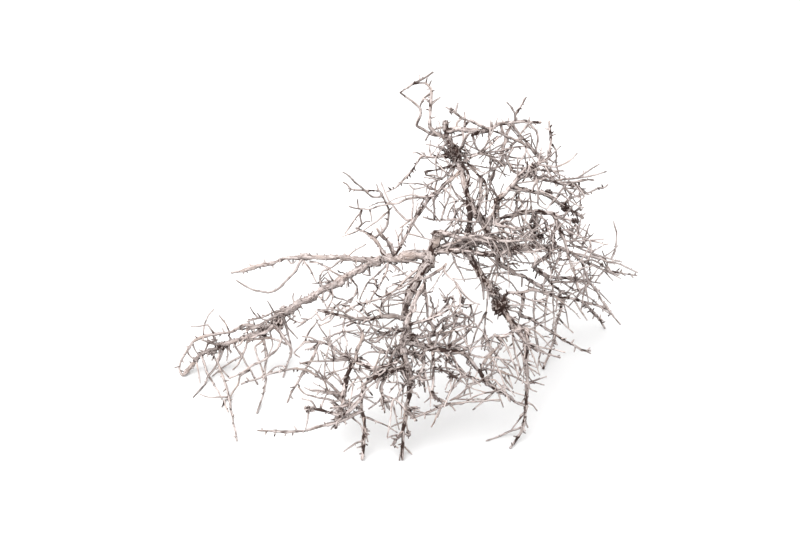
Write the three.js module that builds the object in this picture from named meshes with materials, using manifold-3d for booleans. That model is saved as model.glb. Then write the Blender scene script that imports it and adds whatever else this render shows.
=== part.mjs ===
import * as THREE from "three";
import { mergeVertices } from "three/addons/utils/BufferGeometryUtils.js";
import Module from "manifold-3d";

// A dry, weathered shrub branch, grown as one tangled piece, lying on a flat surface.
// Millimetres, +Z up, origin under the middle of the branch on the surface that it lies on.

// Overall reach across the branch, and the same reach in picture pixels
const REACH = 565;
const REACH_PIXELS = 452;
const PIXEL = REACH / REACH_PIXELS;

// The eye that the routes are laid out for: it looks down at a spot inside the branch
const PICTURE_MIDDLE = { x: 400, y: 266.5 };
const EYE_DISTANCE = 2000;
const EYE_ELEVATION = THREE.MathUtils.degToRad(35);
const LOOK_AT = new THREE.Vector3(-13.1, -19.3, 197);

// Wood thickness, as diameters
const TWIG_ROOT_LEAST = 1.7;
const TWIG_ROOT_MOST = 3.4;
const TWIG_SWELL_PER_PIXEL = 0.014;
const TIP_SHARE = 0.6;
const TIP_LEAST = 1.2;

// Number of sides of limbs, side branches and twigs
const LIMB_SIDES = 5;
const BRANCH_SIDES = 3;
const TWIG_SIDES = 3;

// A route point that bends its route by less than this, in pixels, is passed over
const LEAST_BEND = 2.4;

// How far a twig may lean towards the eye or away from it, as a share of its length
const LEAN_SHARE = 0.9;
const SEED = 20261;

// Short broken spurs along the limbs
const SPUR_STEP = 62;
const SPUR_LENGTH = { least: 6, most: 13 };
const SPUR_DIAMETER = { root: 3.2, tip: 1.8 };
const SPUR_RISE = 0.45;

// Room left under lying wood, as a share of its radius, so that it rests on a small flat
const FLOOR_SHARE = 0.3;
const FLOOR_CUT = { side: 1600, depth: 60 };

// Limbs: thickness at root and tip, and the route as "across,down,near" in pixels,
// where near counts pixels towards the eye from the plane through the look-at spot
const LIMBS = {
  trunk: {
    root: 12.5,
    tip: 3,
    route: `438,231,-30 433,244,-32 428,258,-32 421,272,-28 412,291,-20 406,308,-12 405,322,-5 404,338,2
      403,354,6 408,372,8 409,392,6 406,412,4 403,432,2 402,447,1 402,460,-1`,
  },
  leftLimb: {
    root: 10.5,
    tip: 4,
    route: `430,254,-34 410,256,-42 392,258,-50 372,264,-60 352,274,-70 332,286,-78 312,297,-85 295,306,-92
      278,319,-97 262,332,-100 245,338,-102 228,344,-105 212,350,-108 200,356,-110 192,365,-113 183,376,-119`,
  },
  leftArm: {
    root: 6.2,
    tip: 3.8,
    route: `392,258,-50 368,259,-62 345,258,-72 320,257,-82 303,257,-88 285,259,-95 268,264,-102 250,269,-108
      232,273,-114`,
  },
  rightLimb: {
    root: 10,
    tip: 3.4,
    route: `430,252,-34 446,248,-44 462,243,-52 478,241,-58 496,246,-62 515,247,-66 535,246,-70 556,247,-74
      572,253,-78 582,262,-82`,
  },
  rightFoot: {
    root: 8.2,
    tip: 2.6,
    route: `460,246,-50 469,255,-46 477,267,-40 484,280,-34 492,292,-28 501,305,-22 510,319,-18 519,330,-16
      526,343,-14 527,360,-13 527,380,-13 526,400,-14 525,416,-15 522,430,-16 516,440,-18 510,448,-21`,
  },
  riser: {
    root: 7.2,
    tip: 5,
    route: `492,247,-61 489,234,-58 482,221,-58 474,209,-60 468,195,-62 464,180,-64 460,166,-66 456,154,-66
      449,143,-66 446,130,-66 446,121,-66`,
  },
  topBar: {
    root: 5.8,
    tip: 2.8,
    route: "446,130,-66 458,129,-68 472,132,-70 488,130,-74 500,124,-78 512,122,-82 526,122,-88 541,122,-94",
  },
  topSpire: {
    root: 4,
    tip: 2,
    route: `447,138,-66 436,134,-62 430,126,-60 430,112,-60 431,98,-60 431,88,-60 425,83,-58 413,84,-56
      405,89,-54 400,93,-52`,
  },
  rightRise: {
    root: 5.4,
    tip: 2,
    route: `484,226,-58 494,214,-50 498,200,-46 508,190,-42 518,181,-40 530,172,-38 538,163,-38 549,157,-38
      551,142,-40 549,121,-42`,
  },
  rightFan: {
    root: 4.4,
    tip: 2.8,
    route: "512,187,-41 530,191,-44 545,195,-50 558,202,-56 570,210,-62 583,218,-68",
  },
  rightArch: {
    root: 5,
    tip: 2.6,
    route: `486,227,-58 505,217,-52 520,213,-50 537,212,-50 553,213,-52 558,224,-54 563,238,-56 567,252,-58
      572,266,-60 576,280,-62 579,291,-64`,
  },
  backElbow: {
    root: 5,
    tip: 3,
    route: "556,247,-74 545,258,-92 534,267,-104 545,276,-114 560,278,-124 575,279,-132 588,282,-138",
  },
  rightReach: {
    root: 4.4,
    tip: 2.2,
    route: `494,250,-62 500,264,-66 510,270,-72 522,276,-78 532,281,-84 541,287,-88 548,294,-92 563,298,-98
      580,301,-108 600,306,-122 611,311,-132`,
  },
  rightProp: {
    root: 3.2,
    tip: 2.2,
    route: "563,298,-98 560,312,-106 556,325,-112 554,338,-118 550,352,-124 546,362,-129 543,369,-136",
  },
  farProp: {
    root: 3,
    tip: 2.2,
    route: "580,301,-108 587,306,-125 593,312,-142 600,320,-167 605,328,-195",
  },
  lowRight: {
    root: 6.4,
    tip: 2.8,
    route: `403,342,3 418,346,8 432,348,12 448,350,14 462,353,14 472,362,12 480,373,8 487,384,4 498,390,-2
      508,396,-6 516,402,-10 525,406,-14`,
  },
  leftFoot: {
    root: 5.6,
    tip: 2.8,
    route: `407,366,8 396,370,14 383,372,18 371,378,20 364,388,18 361,399,14 362,410,10 365,424,6 364,436,3
      363,448,1 362,460,-1`,
  },
  leftShelf: {
    root: 5,
    tip: 2.4,
    route: "405,320,-4 395,316,0 383,316,4 371,319,6 358,319,6 345,317,4 333,314,2 318,310,0",
  },
  leftPost: {
    root: 5.6,
    tip: 4.2,
    route: `383,372,18 368,368,14 355,361,8 350,368,8 347,379,8 344,392,6 343,402,4 340,412,2 337,421,0
      335,428,-3`,
  },
};

// Side branches: thickness at the root, lean in pixels towards the eye, route as "across,down"
const BRANCHES = [
  [4.4, 10, "263,325 247,325 232,331 214,335 201,337 193,342 187,351 181,361 180,369 183,376"],
  [3.2, 14, "290,308 274,312 258,318 247,322"],
  [3.2, 34, "266,336 266,356 265,370 266,382 263,394 257,413"],
  [3.0, 55, "222,347 218,360 222,374 227,388 230,402 233,421 237,441"],
  [5.0, -14, "392,258 383,253 378,245 373,238 366,233 358,230 355,228"],
  [5.2, 22, "396,257 391,247 386,240 381,234 377,228"],
  [3.4, 20, "374,239 381,233 387,226 389,218 389,210 386,203 382,196 380,192 372,191 360,190 348,189"],
  [3.2, 30, "394,258 400,247 407,233 412,221 417,212 422,203 426,197 434,195"],
  [4.4, 6, "356,361 356,352 359,343 362,334 358,326"],
  [3.8, -14, "352,360 342,353 332,346 320,342 305,342"],
  [3.4, -26, "320,343 314,355 310,362 303,374 297,384 292,392 287,402"],
  [3.0, -30, "343,396 328,382 308,371 296,368 280,371 267,375 255,380 241,384"],
  [4.0, -6, "357,411 348,418 337,422 325,426 312,429 300,431 290,432 275,431 258,430"],
  [4.4, 4, "352,414 340,416 330,413 320,410 309,409"],
  [3.6, 6, "361,400 352,404 342,406 330,408"],
  [3.0, -8, "342,403 337,394 325,391 310,390"],
  [3.8, 12, "433,349 434,365 433,380 432,392 436,398 445,402 450,405"],
  [3.2, 8, "450,352 456,363 461,372 460,380 452,390 446,399"],
  [3.2, 10, "425,349 424,362 424,376 424,385 425,392"],
  [3.6, -10, "478,371 490,370 500,371 512,376 520,380 527,384"],
  [3.0, 14, "483,371 482,365 487,358 495,350 501,343 494,334"],
  [3.8, -24, "500,304 508,293 520,292 534,290 548,294"],
  [3.4, -10, "522,292 523,303 520,315 532,320 545,328 555,334 565,341 575,346 581,350 590,351"],
  [3.2, -30, "545,277 553,285 563,292 570,297"],
  [3.0, -40, "582,262 587,277 590,284 597,292 602,302 608,309 614,316"],
  [3.0, -30, "580,262 592,264 600,268 606,271 615,272 625,274 637,276"],
  [4.8, 10, "535,246 533,238 531,225 534,212"],
  [3.6, 10, "519,339 525,344 535,348 547,354 560,358"],
  [3.0, -12, "447,157 436,157 421,157 414,168 405,178 395,188 387,192"],
  [3.0, 12, "460,155 475,154 490,152 505,149 525,146"],
  [3.6, -10, "512,122 516,130 521,138 530,146 540,156 548,163"],
  [3.4, 10, "462,166 472,157 481,153 491,145 499,136"],
  [3.2, 14, "531,123 525,128 520,134"],
  [3.2, -14, "530,173 540,178 552,182 562,185 575,182 583,180 594,180"],
  [2.8, -30, "562,204 570,199 580,195 590,192 598,188 603,188 608,184"],
  [3.2, 12, "470,167 478,175 484,180 487,190 486,205 485,218"],
  [2.8, 16, "484,222 470,222 455,220 441,220 430,219 423,217"],
  [3.2, -14, "433,240 446,236 458,233 470,236 484,240"],
  [3.0, 16, "404,331 385,328 368,325 355,323 346,326"],
  [3.6, 12, "390,342 381,338 376,342 370,341"],
  [3.4, 14, "390,370 385,380 381,388 383,400 385,413"],
];

// Twigs: routes as "across,down", each growing from the nearest wood laid before it
const TWIGS = [
  // Left limb
  "192,343 196,351 200,357",
  "203,337 205,323 209,315 214,309",
  "214,334 208,325 200,326 191,327",
  "230,331 226,324 219,315",
  "259,320 254,313 250,307",
  "274,311 270,305 267,301",
  "202,357 207,372 212,382 217,390 222,399",
  "196,360 198,368 199,376 200,383",
  "227,350 218,364 209,375 205,384 199,391 193,397",
  "213,352 218,364 224,371 230,378",
  "234,344 241,355 246,364 250,369 254,377 258,385",
  "280,322 281,338 275,350 266,358 250,368 237,375 229,378",
  "249,339 246,347 242,357 238,365 233,370",
  "272,330 272,345 267,360",
  "284,318 289,335 291,350 288,362 283,377",
  "250,351 240,357 230,362 222,368 212,376",
  "225,399 211,397 199,394",
  "283,319 288,327 293,334 298,339",
  "286,316 292,320 301,323",
  // Upper left arm
  "303,257 309,268 316,282",
  "303,258 295,271 287,280 278,288 268,293 255,290 243,285 236,280",
  "350,276 338,280 325,282 312,284",
  "320,285 322,278 328,272",
  "345,258 337,263 329,268 318,263 309,261",
  "345,258 351,254 357,249 366,244",
  "294,304 293,298 294,293",
  "318,296 325,304 328,310",
  "330,289 334,297 343,299 351,303",
  // Upper middle
  "389,211 381,217 372,224 362,231",
  "358,230 350,234 342,237",
  "357,229 362,224 360,216 362,210 355,208 349,206",
  "382,195 372,197 362,189 353,180 343,172",
  "412,220 407,220 400,214 393,207 388,199 381,182",
  "426,197 412,195 400,197 390,201",
  "425,198 410,198 395,203 380,206 369,209 360,209",
  "412,222 413,205 413,188",
  "447,170 441,179 432,183 424,187 414,189 410,185",
  "412,219 405,224 399,228",
  "407,233 418,237 434,240",
  "422,203 433,213 440,222",
  "430,252 416,250 414,243",
  "435,219 434,205 435,195 443,186 450,180",
  "441,219 445,207 448,199 451,184",
  "456,154 455,168 451,180 452,186 457,196 466,205",
  // Top
  "413,84 423,79 433,72",
  "431,92 425,97 421,104 420,109",
  "447,139 436,135 426,131 417,127 420,117 420,109 410,100 400,92",
  "431,106 435,101 440,97",
  "464,130 465,120 459,117 452,111 446,107",
  "466,127 471,121 480,125 490,129",
  "447,141 441,149 436,157",
  "424,157 417,153 413,153",
  "462,131 463,142 466,152",
  "472,134 475,145 480,152",
  "490,131 489,140 490,152",
  "515,123 516,114 511,107 507,103",
  "516,115 521,106 526,97",
  "500,124 506,140 500,153 506,165",
  "530,123 536,131 538,140 537,150",
  // Upper right
  "549,158 556,151 561,146",
  "551,143 556,150 556,162 560,178",
  "540,168 555,167 565,163 571,159 577,153",
  "552,181 565,179 575,178 590,176 607,172",
  "575,179 583,174 592,168 599,164",
  "562,185 566,188 577,189 586,189",
  "570,184 580,187 588,193",
  "566,187 560,192 554,200 547,209",
  "579,184 580,200 580,210",
  "520,213 516,203 520,192",
  // Right
  "558,218 570,220 578,227 588,232",
  "575,225 571,232 570,242",
  "564,240 571,241 580,241 592,240 604,239",
  "560,230 570,232 580,236 590,240",
  "590,240 592,249 590,256 587,261",
  "570,245 582,250 592,253 600,256 610,259 622,262",
  "611,259 615,250 616,242 616,232 614,221",
  "585,254 600,258 610,263 620,265 630,269 638,272",
  "606,271 608,264 605,258 602,251",
  "608,265 613,273 620,275",
  "606,271 600,275 595,282",
  "590,284 580,290 570,295",
  "579,290 588,297 598,305 603,308",
  "563,292 572,294 580,301",
  "572,299 580,310 587,320",
  "553,285 553,300 554,315 553,330",
  "548,294 545,310 545,330",
  "535,292 534,310 535,330 537,345",
  "534,298 545,307 553,313",
  "548,294 557,297 556,312",
  "576,280 588,281 600,283",
  // Middle right
  "520,214 527,224 533,234",
  "515,248 525,256 530,264",
  "500,262 495,270 490,285 489,300",
  "499,262 492,268 488,280 487,300 486,312",
  // Lower right
  "517,328 528,329 534,330 539,334 545,341 550,347",
  "554,338 551,341 545,347",
  "527,343 540,347 550,349 565,352",
  "581,350 586,352 591,354",
  "527,382 535,381 546,377",
  "527,384 536,383 544,385",
  "528,387 533,390 537,392",
  "498,330 506,345 511,358 516,368 519,378",
  "483,379 490,376 498,372",
  "485,380 495,380 500,386 505,392",
  "497,390 490,396 480,404 473,410",
  "498,391 501,400 503,407",
  "482,380 470,386 460,394 450,401",
  "448,404 465,402 480,401 500,400",
  "447,403 440,406 430,411 420,415 410,418",
  "443,405 437,415 434,422 431,427",
  "449,404 452,407 455,411",
  "523,427 512,431 500,436 486,441",
  "524,411 519,420 512,430",
  "524,419 528,428",
  "527,401 533,405 537,411",
  "492,320 484,336 481,349",
  "475,335 489,345 500,358 508,368 513,375",
  "462,353 480,357 495,358 512,360",
  // Lower middle
  "448,350 450,335 456,322 455,308 453,295",
  "452,300 450,297 447,304 436,316 418,323 408,324",
  "408,318 416,300 424,290 425,280 440,270 446,264",
  "446,264 445,273 455,282 462,297",
  "425,282 426,300 427,317",
  "405,345 396,350 388,353 378,352 371,346",
  "447,352 446,366 450,374 458,381",
  "409,385 395,383 386,383",
  // Lower left
  "383,394 392,398 400,403 405,409",
  "382,396 376,404 369,409",
  "384,402 392,401 400,396 408,392",
  "391,401 391,415 389,428 387,437",
  "402,435 393,436 387,438",
  "402,430 396,439 393,444 390,446",
  "402,445 408,450 412,454",
  "404,420 407,425 408,434",
  "404,420 397,424 391,427",
  "407,409 412,407 416,407",
  "406,412 412,416 416,421",
  "365,417 377,422 387,426 397,432",
  "363,441 356,443 349,448 344,452",
  "364,432 369,435",
  "351,418 360,424 363,433",
  "340,424 331,430",
  "309,410 307,421 305,429",
  "344,399 335,401 318,398 306,394 298,387",
  "321,410 323,403 326,396 330,389",
  "316,409 312,402 302,399",
  "363,392 357,397 350,404",
  "344,388 340,378 334,370 333,360",
  "343,392 329,393 325,381 320,372",
  "364,386 359,376 352,384 348,392",
  // Middle left
  "352,361 335,361 315,362 300,364",
  "305,342 310,331 318,320",
  "335,314 330,321 320,326",
  "345,317 343,331 335,335 323,340",
  "343,331 352,331 358,330",
  "343,332 346,340 348,346",
  "354,319 345,313 338,308 332,302",
  "345,312 355,306 365,303 375,301",
  "328,309 333,297 328,290",
  "371,319 366,314 363,309 367,299",
  "390,316 382,311 375,304",
  "384,312 384,307 395,305 403,303",
  "381,309 388,298 400,291 410,290",
  "404,331 390,336 378,331 371,327",
  "421,273 410,280 400,286 390,294",
  "412,291 402,294 392,298 380,299",
];

// Galls and matted knots on the wood: place and radius
const KNOTS = [
  { x: 456, y: 153, radius: 8 },
  { x: 447, y: 124, radius: 5.2 },
  { x: 500, y: 304, radius: 9.5 },
  { x: 224, y: 346, radius: 6.5 },
  { x: 274, y: 321, radius: 8 },
  { x: 404, y: 335, radius: 8.5 },
  { x: 534, y: 170, radius: 6.5 },
  { x: 564, y: 207, radius: 6 },
  { x: 310, y: 410, radius: 4.6 },
  { x: 505, y: 252, radius: 7 },
  { x: 409, y: 382, radius: 6.5 },
];
const KNOT_LUMP = 0.28;
const KNOT_WAVES_PER_MM = { x: 0.9, y: 1.1, z: 1.3 };

// Wood nearer to upright than this, as the cosine of its slant, is framed from its side
const UPRIGHT = 0.9;

const wasm = await Module();
wasm.setup();

// Repeatable draws between 0 and 1
function seededDraw(seed) {
  const multiplier = 1664525;
  const increment = 1013904223;
  const range = 2 ** 32;
  let state = seed;
  return () => {
    state = (Math.imul(state, multiplier) + increment) >>> 0;
    return state / range;
  };
}

const draw = seededDraw(SEED);

// Sight lines of the eye
const forward = new THREE.Vector3(0, Math.cos(EYE_ELEVATION), -Math.sin(EYE_ELEVATION));
const right = new THREE.Vector3(1, 0, 0);
const up = new THREE.Vector3(0, Math.sin(EYE_ELEVATION), Math.cos(EYE_ELEVATION));
const eye = LOOK_AT.clone().addScaledVector(forward, -EYE_DISTANCE);

function sightLine(x, y) {
  const across = ((x - PICTURE_MIDDLE.x) * PIXEL) / EYE_DISTANCE;
  const rise = ((PICTURE_MIDDLE.y - y) * PIXEL) / EYE_DISTANCE;
  return forward.clone().addScaledVector(right, across).addScaledVector(up, rise);
}

// The place in space of a picture point, kept from sinking below its resting height
function place({ x, y, near }, restingHeight) {
  const line = sightLine(x, y);
  const reach = EYE_DISTANCE - near * PIXEL;
  const floorReach = (restingHeight - eye.z) / line.z;
  return eye.clone().addScaledVector(line, Math.min(reach, floorReach));
}

function readRoute(text) {
  return text.trim().split(/\s+/).map((word) => {
    const [x, y, near] = word.split(",").map(Number);
    return { x, y, near };
  });
}

// Running length in pixels at each point of a route
function runningLength(route) {
  const lengths = [0];
  for (let i = 1; i < route.length; i += 1) {
    const step = Math.hypot(route[i].x - route[i - 1].x, route[i].y - route[i - 1].y);
    lengths.push(lengths[i - 1] + step);
  }
  return lengths;
}

// How far a point stands off the straight line between two others, in pixels
function standOff(point, start, end) {
  const line = new THREE.Line3(asVector(start), asVector(end));
  const foot = line.closestPointToPoint(asVector(point), true, new THREE.Vector3());
  return foot.distanceTo(asVector(point));
}

function asVector({ x, y, near }) {
  return new THREE.Vector3(x, y, near);
}

// Leaves out the points that hardly bend the route
function straighten(route) {
  const kept = [route[0]];
  for (let i = 1; i < route.length - 1; i += 1) {
    if (standOff(route[i], kept[kept.length - 1], route[i + 1]) > LEAST_BEND) {
      kept.push(route[i]);
    }
  }
  kept.push(route[route.length - 1]);
  return kept;
}

// Centrelines of the wood laid so far, in picture points
const centrelines = [];

function nearestOnWood({ x, y }) {
  let best = { distance: Infinity };
  for (const route of centrelines) {
    for (let i = 1; i < route.length; i += 1) {
      const a = route[i - 1];
      const b = route[i];
      const run = { x: b.x - a.x, y: b.y - a.y };
      const along = ((x - a.x) * run.x + (y - a.y) * run.y) / (run.x ** 2 + run.y ** 2);
      const share = THREE.MathUtils.clamp(along, 0, 1);
      const foot = { x: a.x + run.x * share, y: a.y + run.y * share };
      const distance = Math.hypot(x - foot.x, y - foot.y);
      if (distance < best.distance) {
        foot.near = THREE.MathUtils.lerp(a.near, b.near, share);
        best = { distance, foot };
      }
    }
  }
  return best.foot;
}

function toSolid(geometry) {
  geometry.deleteAttribute("normal");
  geometry.deleteAttribute("uv");
  const merged = mergeVertices(geometry);
  const mesh = new wasm.Mesh({
    numProp: 3,
    vertProperties: new Float32Array(merged.attributes.position.array),
    triVerts: new Uint32Array(merged.index.array),
  });
  return new wasm.Manifold(mesh);
}

// Directions along and across a line of points, turned as little as possible from ring to ring
function ringFrames(points) {
  const frames = [];
  const last = points.length - 1;
  let side = new THREE.Vector3(0, 0, 1);
  for (let i = 0; i <= last; i += 1) {
    const along = points[Math.min(i + 1, last)].clone().sub(points[Math.max(i - 1, 0)]).normalize();
    if (i === 0 && Math.abs(along.dot(side)) > UPRIGHT) {
      side = new THREE.Vector3(1, 0, 0);
    }
    side = side.clone().addScaledVector(along, -side.dot(along)).normalize();
    frames.push({ side, cross: new THREE.Vector3().crossVectors(along, side) });
  }
  return frames;
}

// A round stick through the points: a cylinder bent along them, with its own radius at each
function stick(points, radii, sides) {
  const segments = points.length - 1;
  const cylinder = new THREE.CylinderGeometry(1, 1, segments, sides, segments);
  const frames = ringFrames(points);
  const corners = cylinder.attributes.position;
  for (let i = 0; i < corners.count; i += 1) {
    const ring = Math.round(segments / 2 - corners.getY(i));
    const corner = points[ring].clone();
    corner.addScaledVector(frames[ring].side, corners.getX(i) * radii[ring]);
    corner.addScaledVector(frames[ring].cross, corners.getZ(i) * radii[ring]);
    corners.setXYZ(i, corner.x, corner.y, corner.z);
  }
  return toSolid(cylinder);
}

// Wood along a route of picture points, tapering from root to tip diameter
function wood(fullRoute, rootDiameter, tipDiameter, sides) {
  const route = straighten(fullRoute);
  centrelines.push(route);
  const lengths = runningLength(route);
  const total = lengths[lengths.length - 1];
  const diameters = lengths.map((length) => THREE.MathUtils.lerp(rootDiameter, tipDiameter, length / total));
  const radii = diameters.map((diameter) => diameter / 2);
  const points = route.map((point, i) => place(point, radii[i] * FLOOR_SHARE));
  return { points, radii, solid: stick(points, radii, sides) };
}

// Gives a route the depth of the wood it grows from, leaning evenly from there
function grow(route, lean) {
  const lengths = runningLength(route);
  const total = lengths[lengths.length - 1];
  const root = nearestOnWood(route[0]);
  return route.map((point, i) => {
    const spot = i === 0 ? root : point;
    return { x: spot.x, y: spot.y, near: root.near + (lean * lengths[i]) / total };
  });
}

function twig(text) {
  const route = readRoute(text);
  const lengths = runningLength(route);
  const total = lengths[lengths.length - 1];
  const lean = (2 * draw() - 1) * LEAN_SHARE * total;
  const root = Math.min(TWIG_ROOT_LEAST + total * TWIG_SWELL_PER_PIXEL, TWIG_ROOT_MOST);
  return wood(grow(route, lean), root, Math.max(root * TIP_SHARE, TIP_LEAST), TWIG_SIDES).solid;
}

function limb({ root, tip, route }) {
  const [start, ...rest] = readRoute(route);
  const seat = centrelines.length > 0 ? nearestOnWood(start) : start;
  return wood([seat, ...rest], root, tip, LIMB_SIDES);
}

function branch([diameter, lean, text]) {
  const tip = Math.max(diameter * TIP_SHARE, TIP_LEAST);
  return wood(grow(readRoute(text), lean), diameter, tip, BRANCH_SIDES).solid;
}

// Broken spurs stand out of a limb at even steps, each turned its own way round it
function spurs({ points, radii }) {
  const solids = [];
  const line = new THREE.CatmullRomCurve3(points);
  const length = line.getLength();
  for (let distance = SPUR_STEP; distance < length - SPUR_STEP / 2; distance += SPUR_STEP) {
    const share = distance / length;
    const along = line.getTangentAt(share);
    const turn = draw() * 2 * Math.PI;
    const stretch = THREE.MathUtils.lerp(SPUR_LENGTH.least, SPUR_LENGTH.most, draw());
    const side = new THREE.Vector3(0, 0, 1).cross(along).normalize().applyAxisAngle(along, turn);
    const root = line.getPointAt(share);
    const limbRadius = radii[Math.round(share * (radii.length - 1))];
    const tip = root.clone().addScaledVector(side, limbRadius + stretch);
    tip.addScaledVector(along, stretch * SPUR_RISE);
    const ends = [SPUR_DIAMETER.root / 2, SPUR_DIAMETER.tip / 2];
    solids.push(stick([root, tip], ends, TWIG_SIDES));
  }
  return solids;
}

// A lumpy ball round the wood
function knot({ x, y, radius }) {
  const ball = new THREE.DodecahedronGeometry(radius);
  const corners = ball.attributes.position;
  const corner = new THREE.Vector3();
  const middle = place(nearestOnWood({ x, y }), radius);
  for (let i = 0; i < corners.count; i += 1) {
    corner.fromBufferAttribute(corners, i);
    const waves = [
      Math.sin(corner.x * KNOT_WAVES_PER_MM.x + x),
      Math.sin(corner.y * KNOT_WAVES_PER_MM.y + y),
      Math.sin(corner.z * KNOT_WAVES_PER_MM.z),
    ];
    const swell = waves.reduce((sum, wave) => sum + wave) / waves.length;
    corner.multiplyScalar(1 + KNOT_LUMP * swell).add(middle);
    corners.setXYZ(i, corner.x, corner.y, corner.z);
  }
  return toSolid(ball);
}

function fuse(solids) {
  return solids.reduce((whole, solid) => whole.add(solid));
}

// Everything below the surface is cut away, which leaves small flats to rest on
function cutFlat(solid) {
  const box = new THREE.BoxGeometry(FLOOR_CUT.side, FLOOR_CUT.side, FLOOR_CUT.depth);
  box.translate(0, 0, -FLOOR_CUT.depth / 2);
  return solid.subtract(toSolid(box));
}

function largestBody(solid) {
  const bodies = solid.decompose();
  return bodies.reduce((best, body) => (body.volume() > best.volume() ? body : best));
}

function toGeometry(solid) {
  const mesh = solid.getMesh();
  const geometry = new THREE.BufferGeometry();
  geometry.setAttribute("position", new THREE.BufferAttribute(new Float32Array(mesh.vertProperties), 3));
  geometry.setIndex(new THREE.BufferAttribute(new Uint32Array(mesh.triVerts), 1));
  geometry.computeVertexNormals();
  return geometry;
}

const limbs = Object.values(LIMBS).map(limb);
const sideBranches = BRANCHES.map(branch);
const twigs = TWIGS.map(twig);
const limbSpurs = limbs.flatMap(spurs);
const knots = KNOTS.map(knot);
const limbSolids = limbs.map(({ solid }) => solid);
const grown = fuse([...limbSolids, ...sideBranches, ...twigs, ...limbSpurs, ...knots]);

const weatheredWood = new THREE.MeshStandardMaterial({ color: 0x9a8c84, roughness: 0.92, metalness: 0 });
const branchMesh = new THREE.Mesh(toGeometry(largestBody(cutFlat(grown))), weatheredWood);
branchMesh.name = "branch";

const object = new THREE.Group();
object.add(branchMesh);

export default object;
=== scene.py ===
import math
from collections import namedtuple

import bmesh
import bpy
import numpy as np
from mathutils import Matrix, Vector, noise


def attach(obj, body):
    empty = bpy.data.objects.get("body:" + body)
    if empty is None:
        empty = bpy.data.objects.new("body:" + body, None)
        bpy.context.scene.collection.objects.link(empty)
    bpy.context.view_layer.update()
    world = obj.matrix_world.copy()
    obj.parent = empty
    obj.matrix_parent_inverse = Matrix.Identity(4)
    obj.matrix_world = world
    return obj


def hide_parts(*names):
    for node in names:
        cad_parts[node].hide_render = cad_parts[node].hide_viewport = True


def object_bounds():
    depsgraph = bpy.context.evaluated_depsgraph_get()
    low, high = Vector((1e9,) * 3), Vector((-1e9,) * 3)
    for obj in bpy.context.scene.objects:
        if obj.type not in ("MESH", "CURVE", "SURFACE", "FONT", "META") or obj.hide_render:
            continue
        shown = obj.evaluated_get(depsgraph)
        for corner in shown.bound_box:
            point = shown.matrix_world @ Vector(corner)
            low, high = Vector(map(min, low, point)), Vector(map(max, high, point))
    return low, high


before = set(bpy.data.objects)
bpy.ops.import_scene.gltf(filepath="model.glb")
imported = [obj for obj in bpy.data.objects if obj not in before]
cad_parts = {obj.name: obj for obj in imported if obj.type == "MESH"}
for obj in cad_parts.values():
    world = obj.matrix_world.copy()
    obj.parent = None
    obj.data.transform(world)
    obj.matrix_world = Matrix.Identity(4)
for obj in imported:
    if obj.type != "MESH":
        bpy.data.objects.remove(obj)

# A dry, weathered shrub branch, grown as one tangled piece, lying on a pale floor.
# The same routes as the solid carry finer wood here: rounded limbs with furrowed bark,
# jointed twigs, broken spurs, matted knots and the fine twigs between them.
# How much bark is left on wood, with painted shade in knot pits and round the roots of sticks added to it,
# runs from 0, for bare wood, to about 2, for wood that is dark all over.

cad_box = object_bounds()

MM = 0.001

# Overall reach across the branch, and the same reach in picture pixels
REACH = 565 * MM
REACH_PIXELS = 452
PIXEL = REACH / REACH_PIXELS

# The eye that the routes are laid out for, which is also the camera
PICTURE_WIDTH = 800
PICTURE_MIDDLE = (400, 266.5)
SENSOR_WIDTH = 36
EYE_DISTANCE = 2.0
EYE_ELEVATION = math.radians(35)
LOOK_AT = np.array((-13.1, -19.3, 197.0)) * MM
FORWARD = np.array((0, math.cos(EYE_ELEVATION), -math.sin(EYE_ELEVATION)))
RIGHT = np.array((1.0, 0, 0))
UP = np.array((0, math.sin(EYE_ELEVATION), math.cos(EYE_ELEVATION)))
EYE = LOOK_AT - FORWARD * EYE_DISTANCE

# Seed of all draws, and the range of the number by which each stick's noise differs from the others'
SEED = 20261
STICK_SEED = (0, 40)

# Twig thickness, as diameters
TWIG_ROOT_LEAST = 1.7 * MM
TWIG_ROOT_MOST = 3.4 * MM
TWIG_SWELL_PER_PIXEL = 0.014 * MM
TIP_SHARE = 0.6
TIP_LEAST = 1.2 * MM

# Twigs are this much fuller than in the solid, and most of all above a line in the picture, in pixels down
TWIG_FULLNESS = 1.3
CROWN_LINE = 140
CROWN_FULLNESS = 1.7

# How far a twig may lean towards the eye or away from it, as a share of its length
LEAN_SHARE = 0.9
INNER_LEAN_SHARE = 0.5

# A route point that bends its route by less than this, in pixels, is passed over by what grows on it
LEAST_BEND = 2.4

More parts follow.
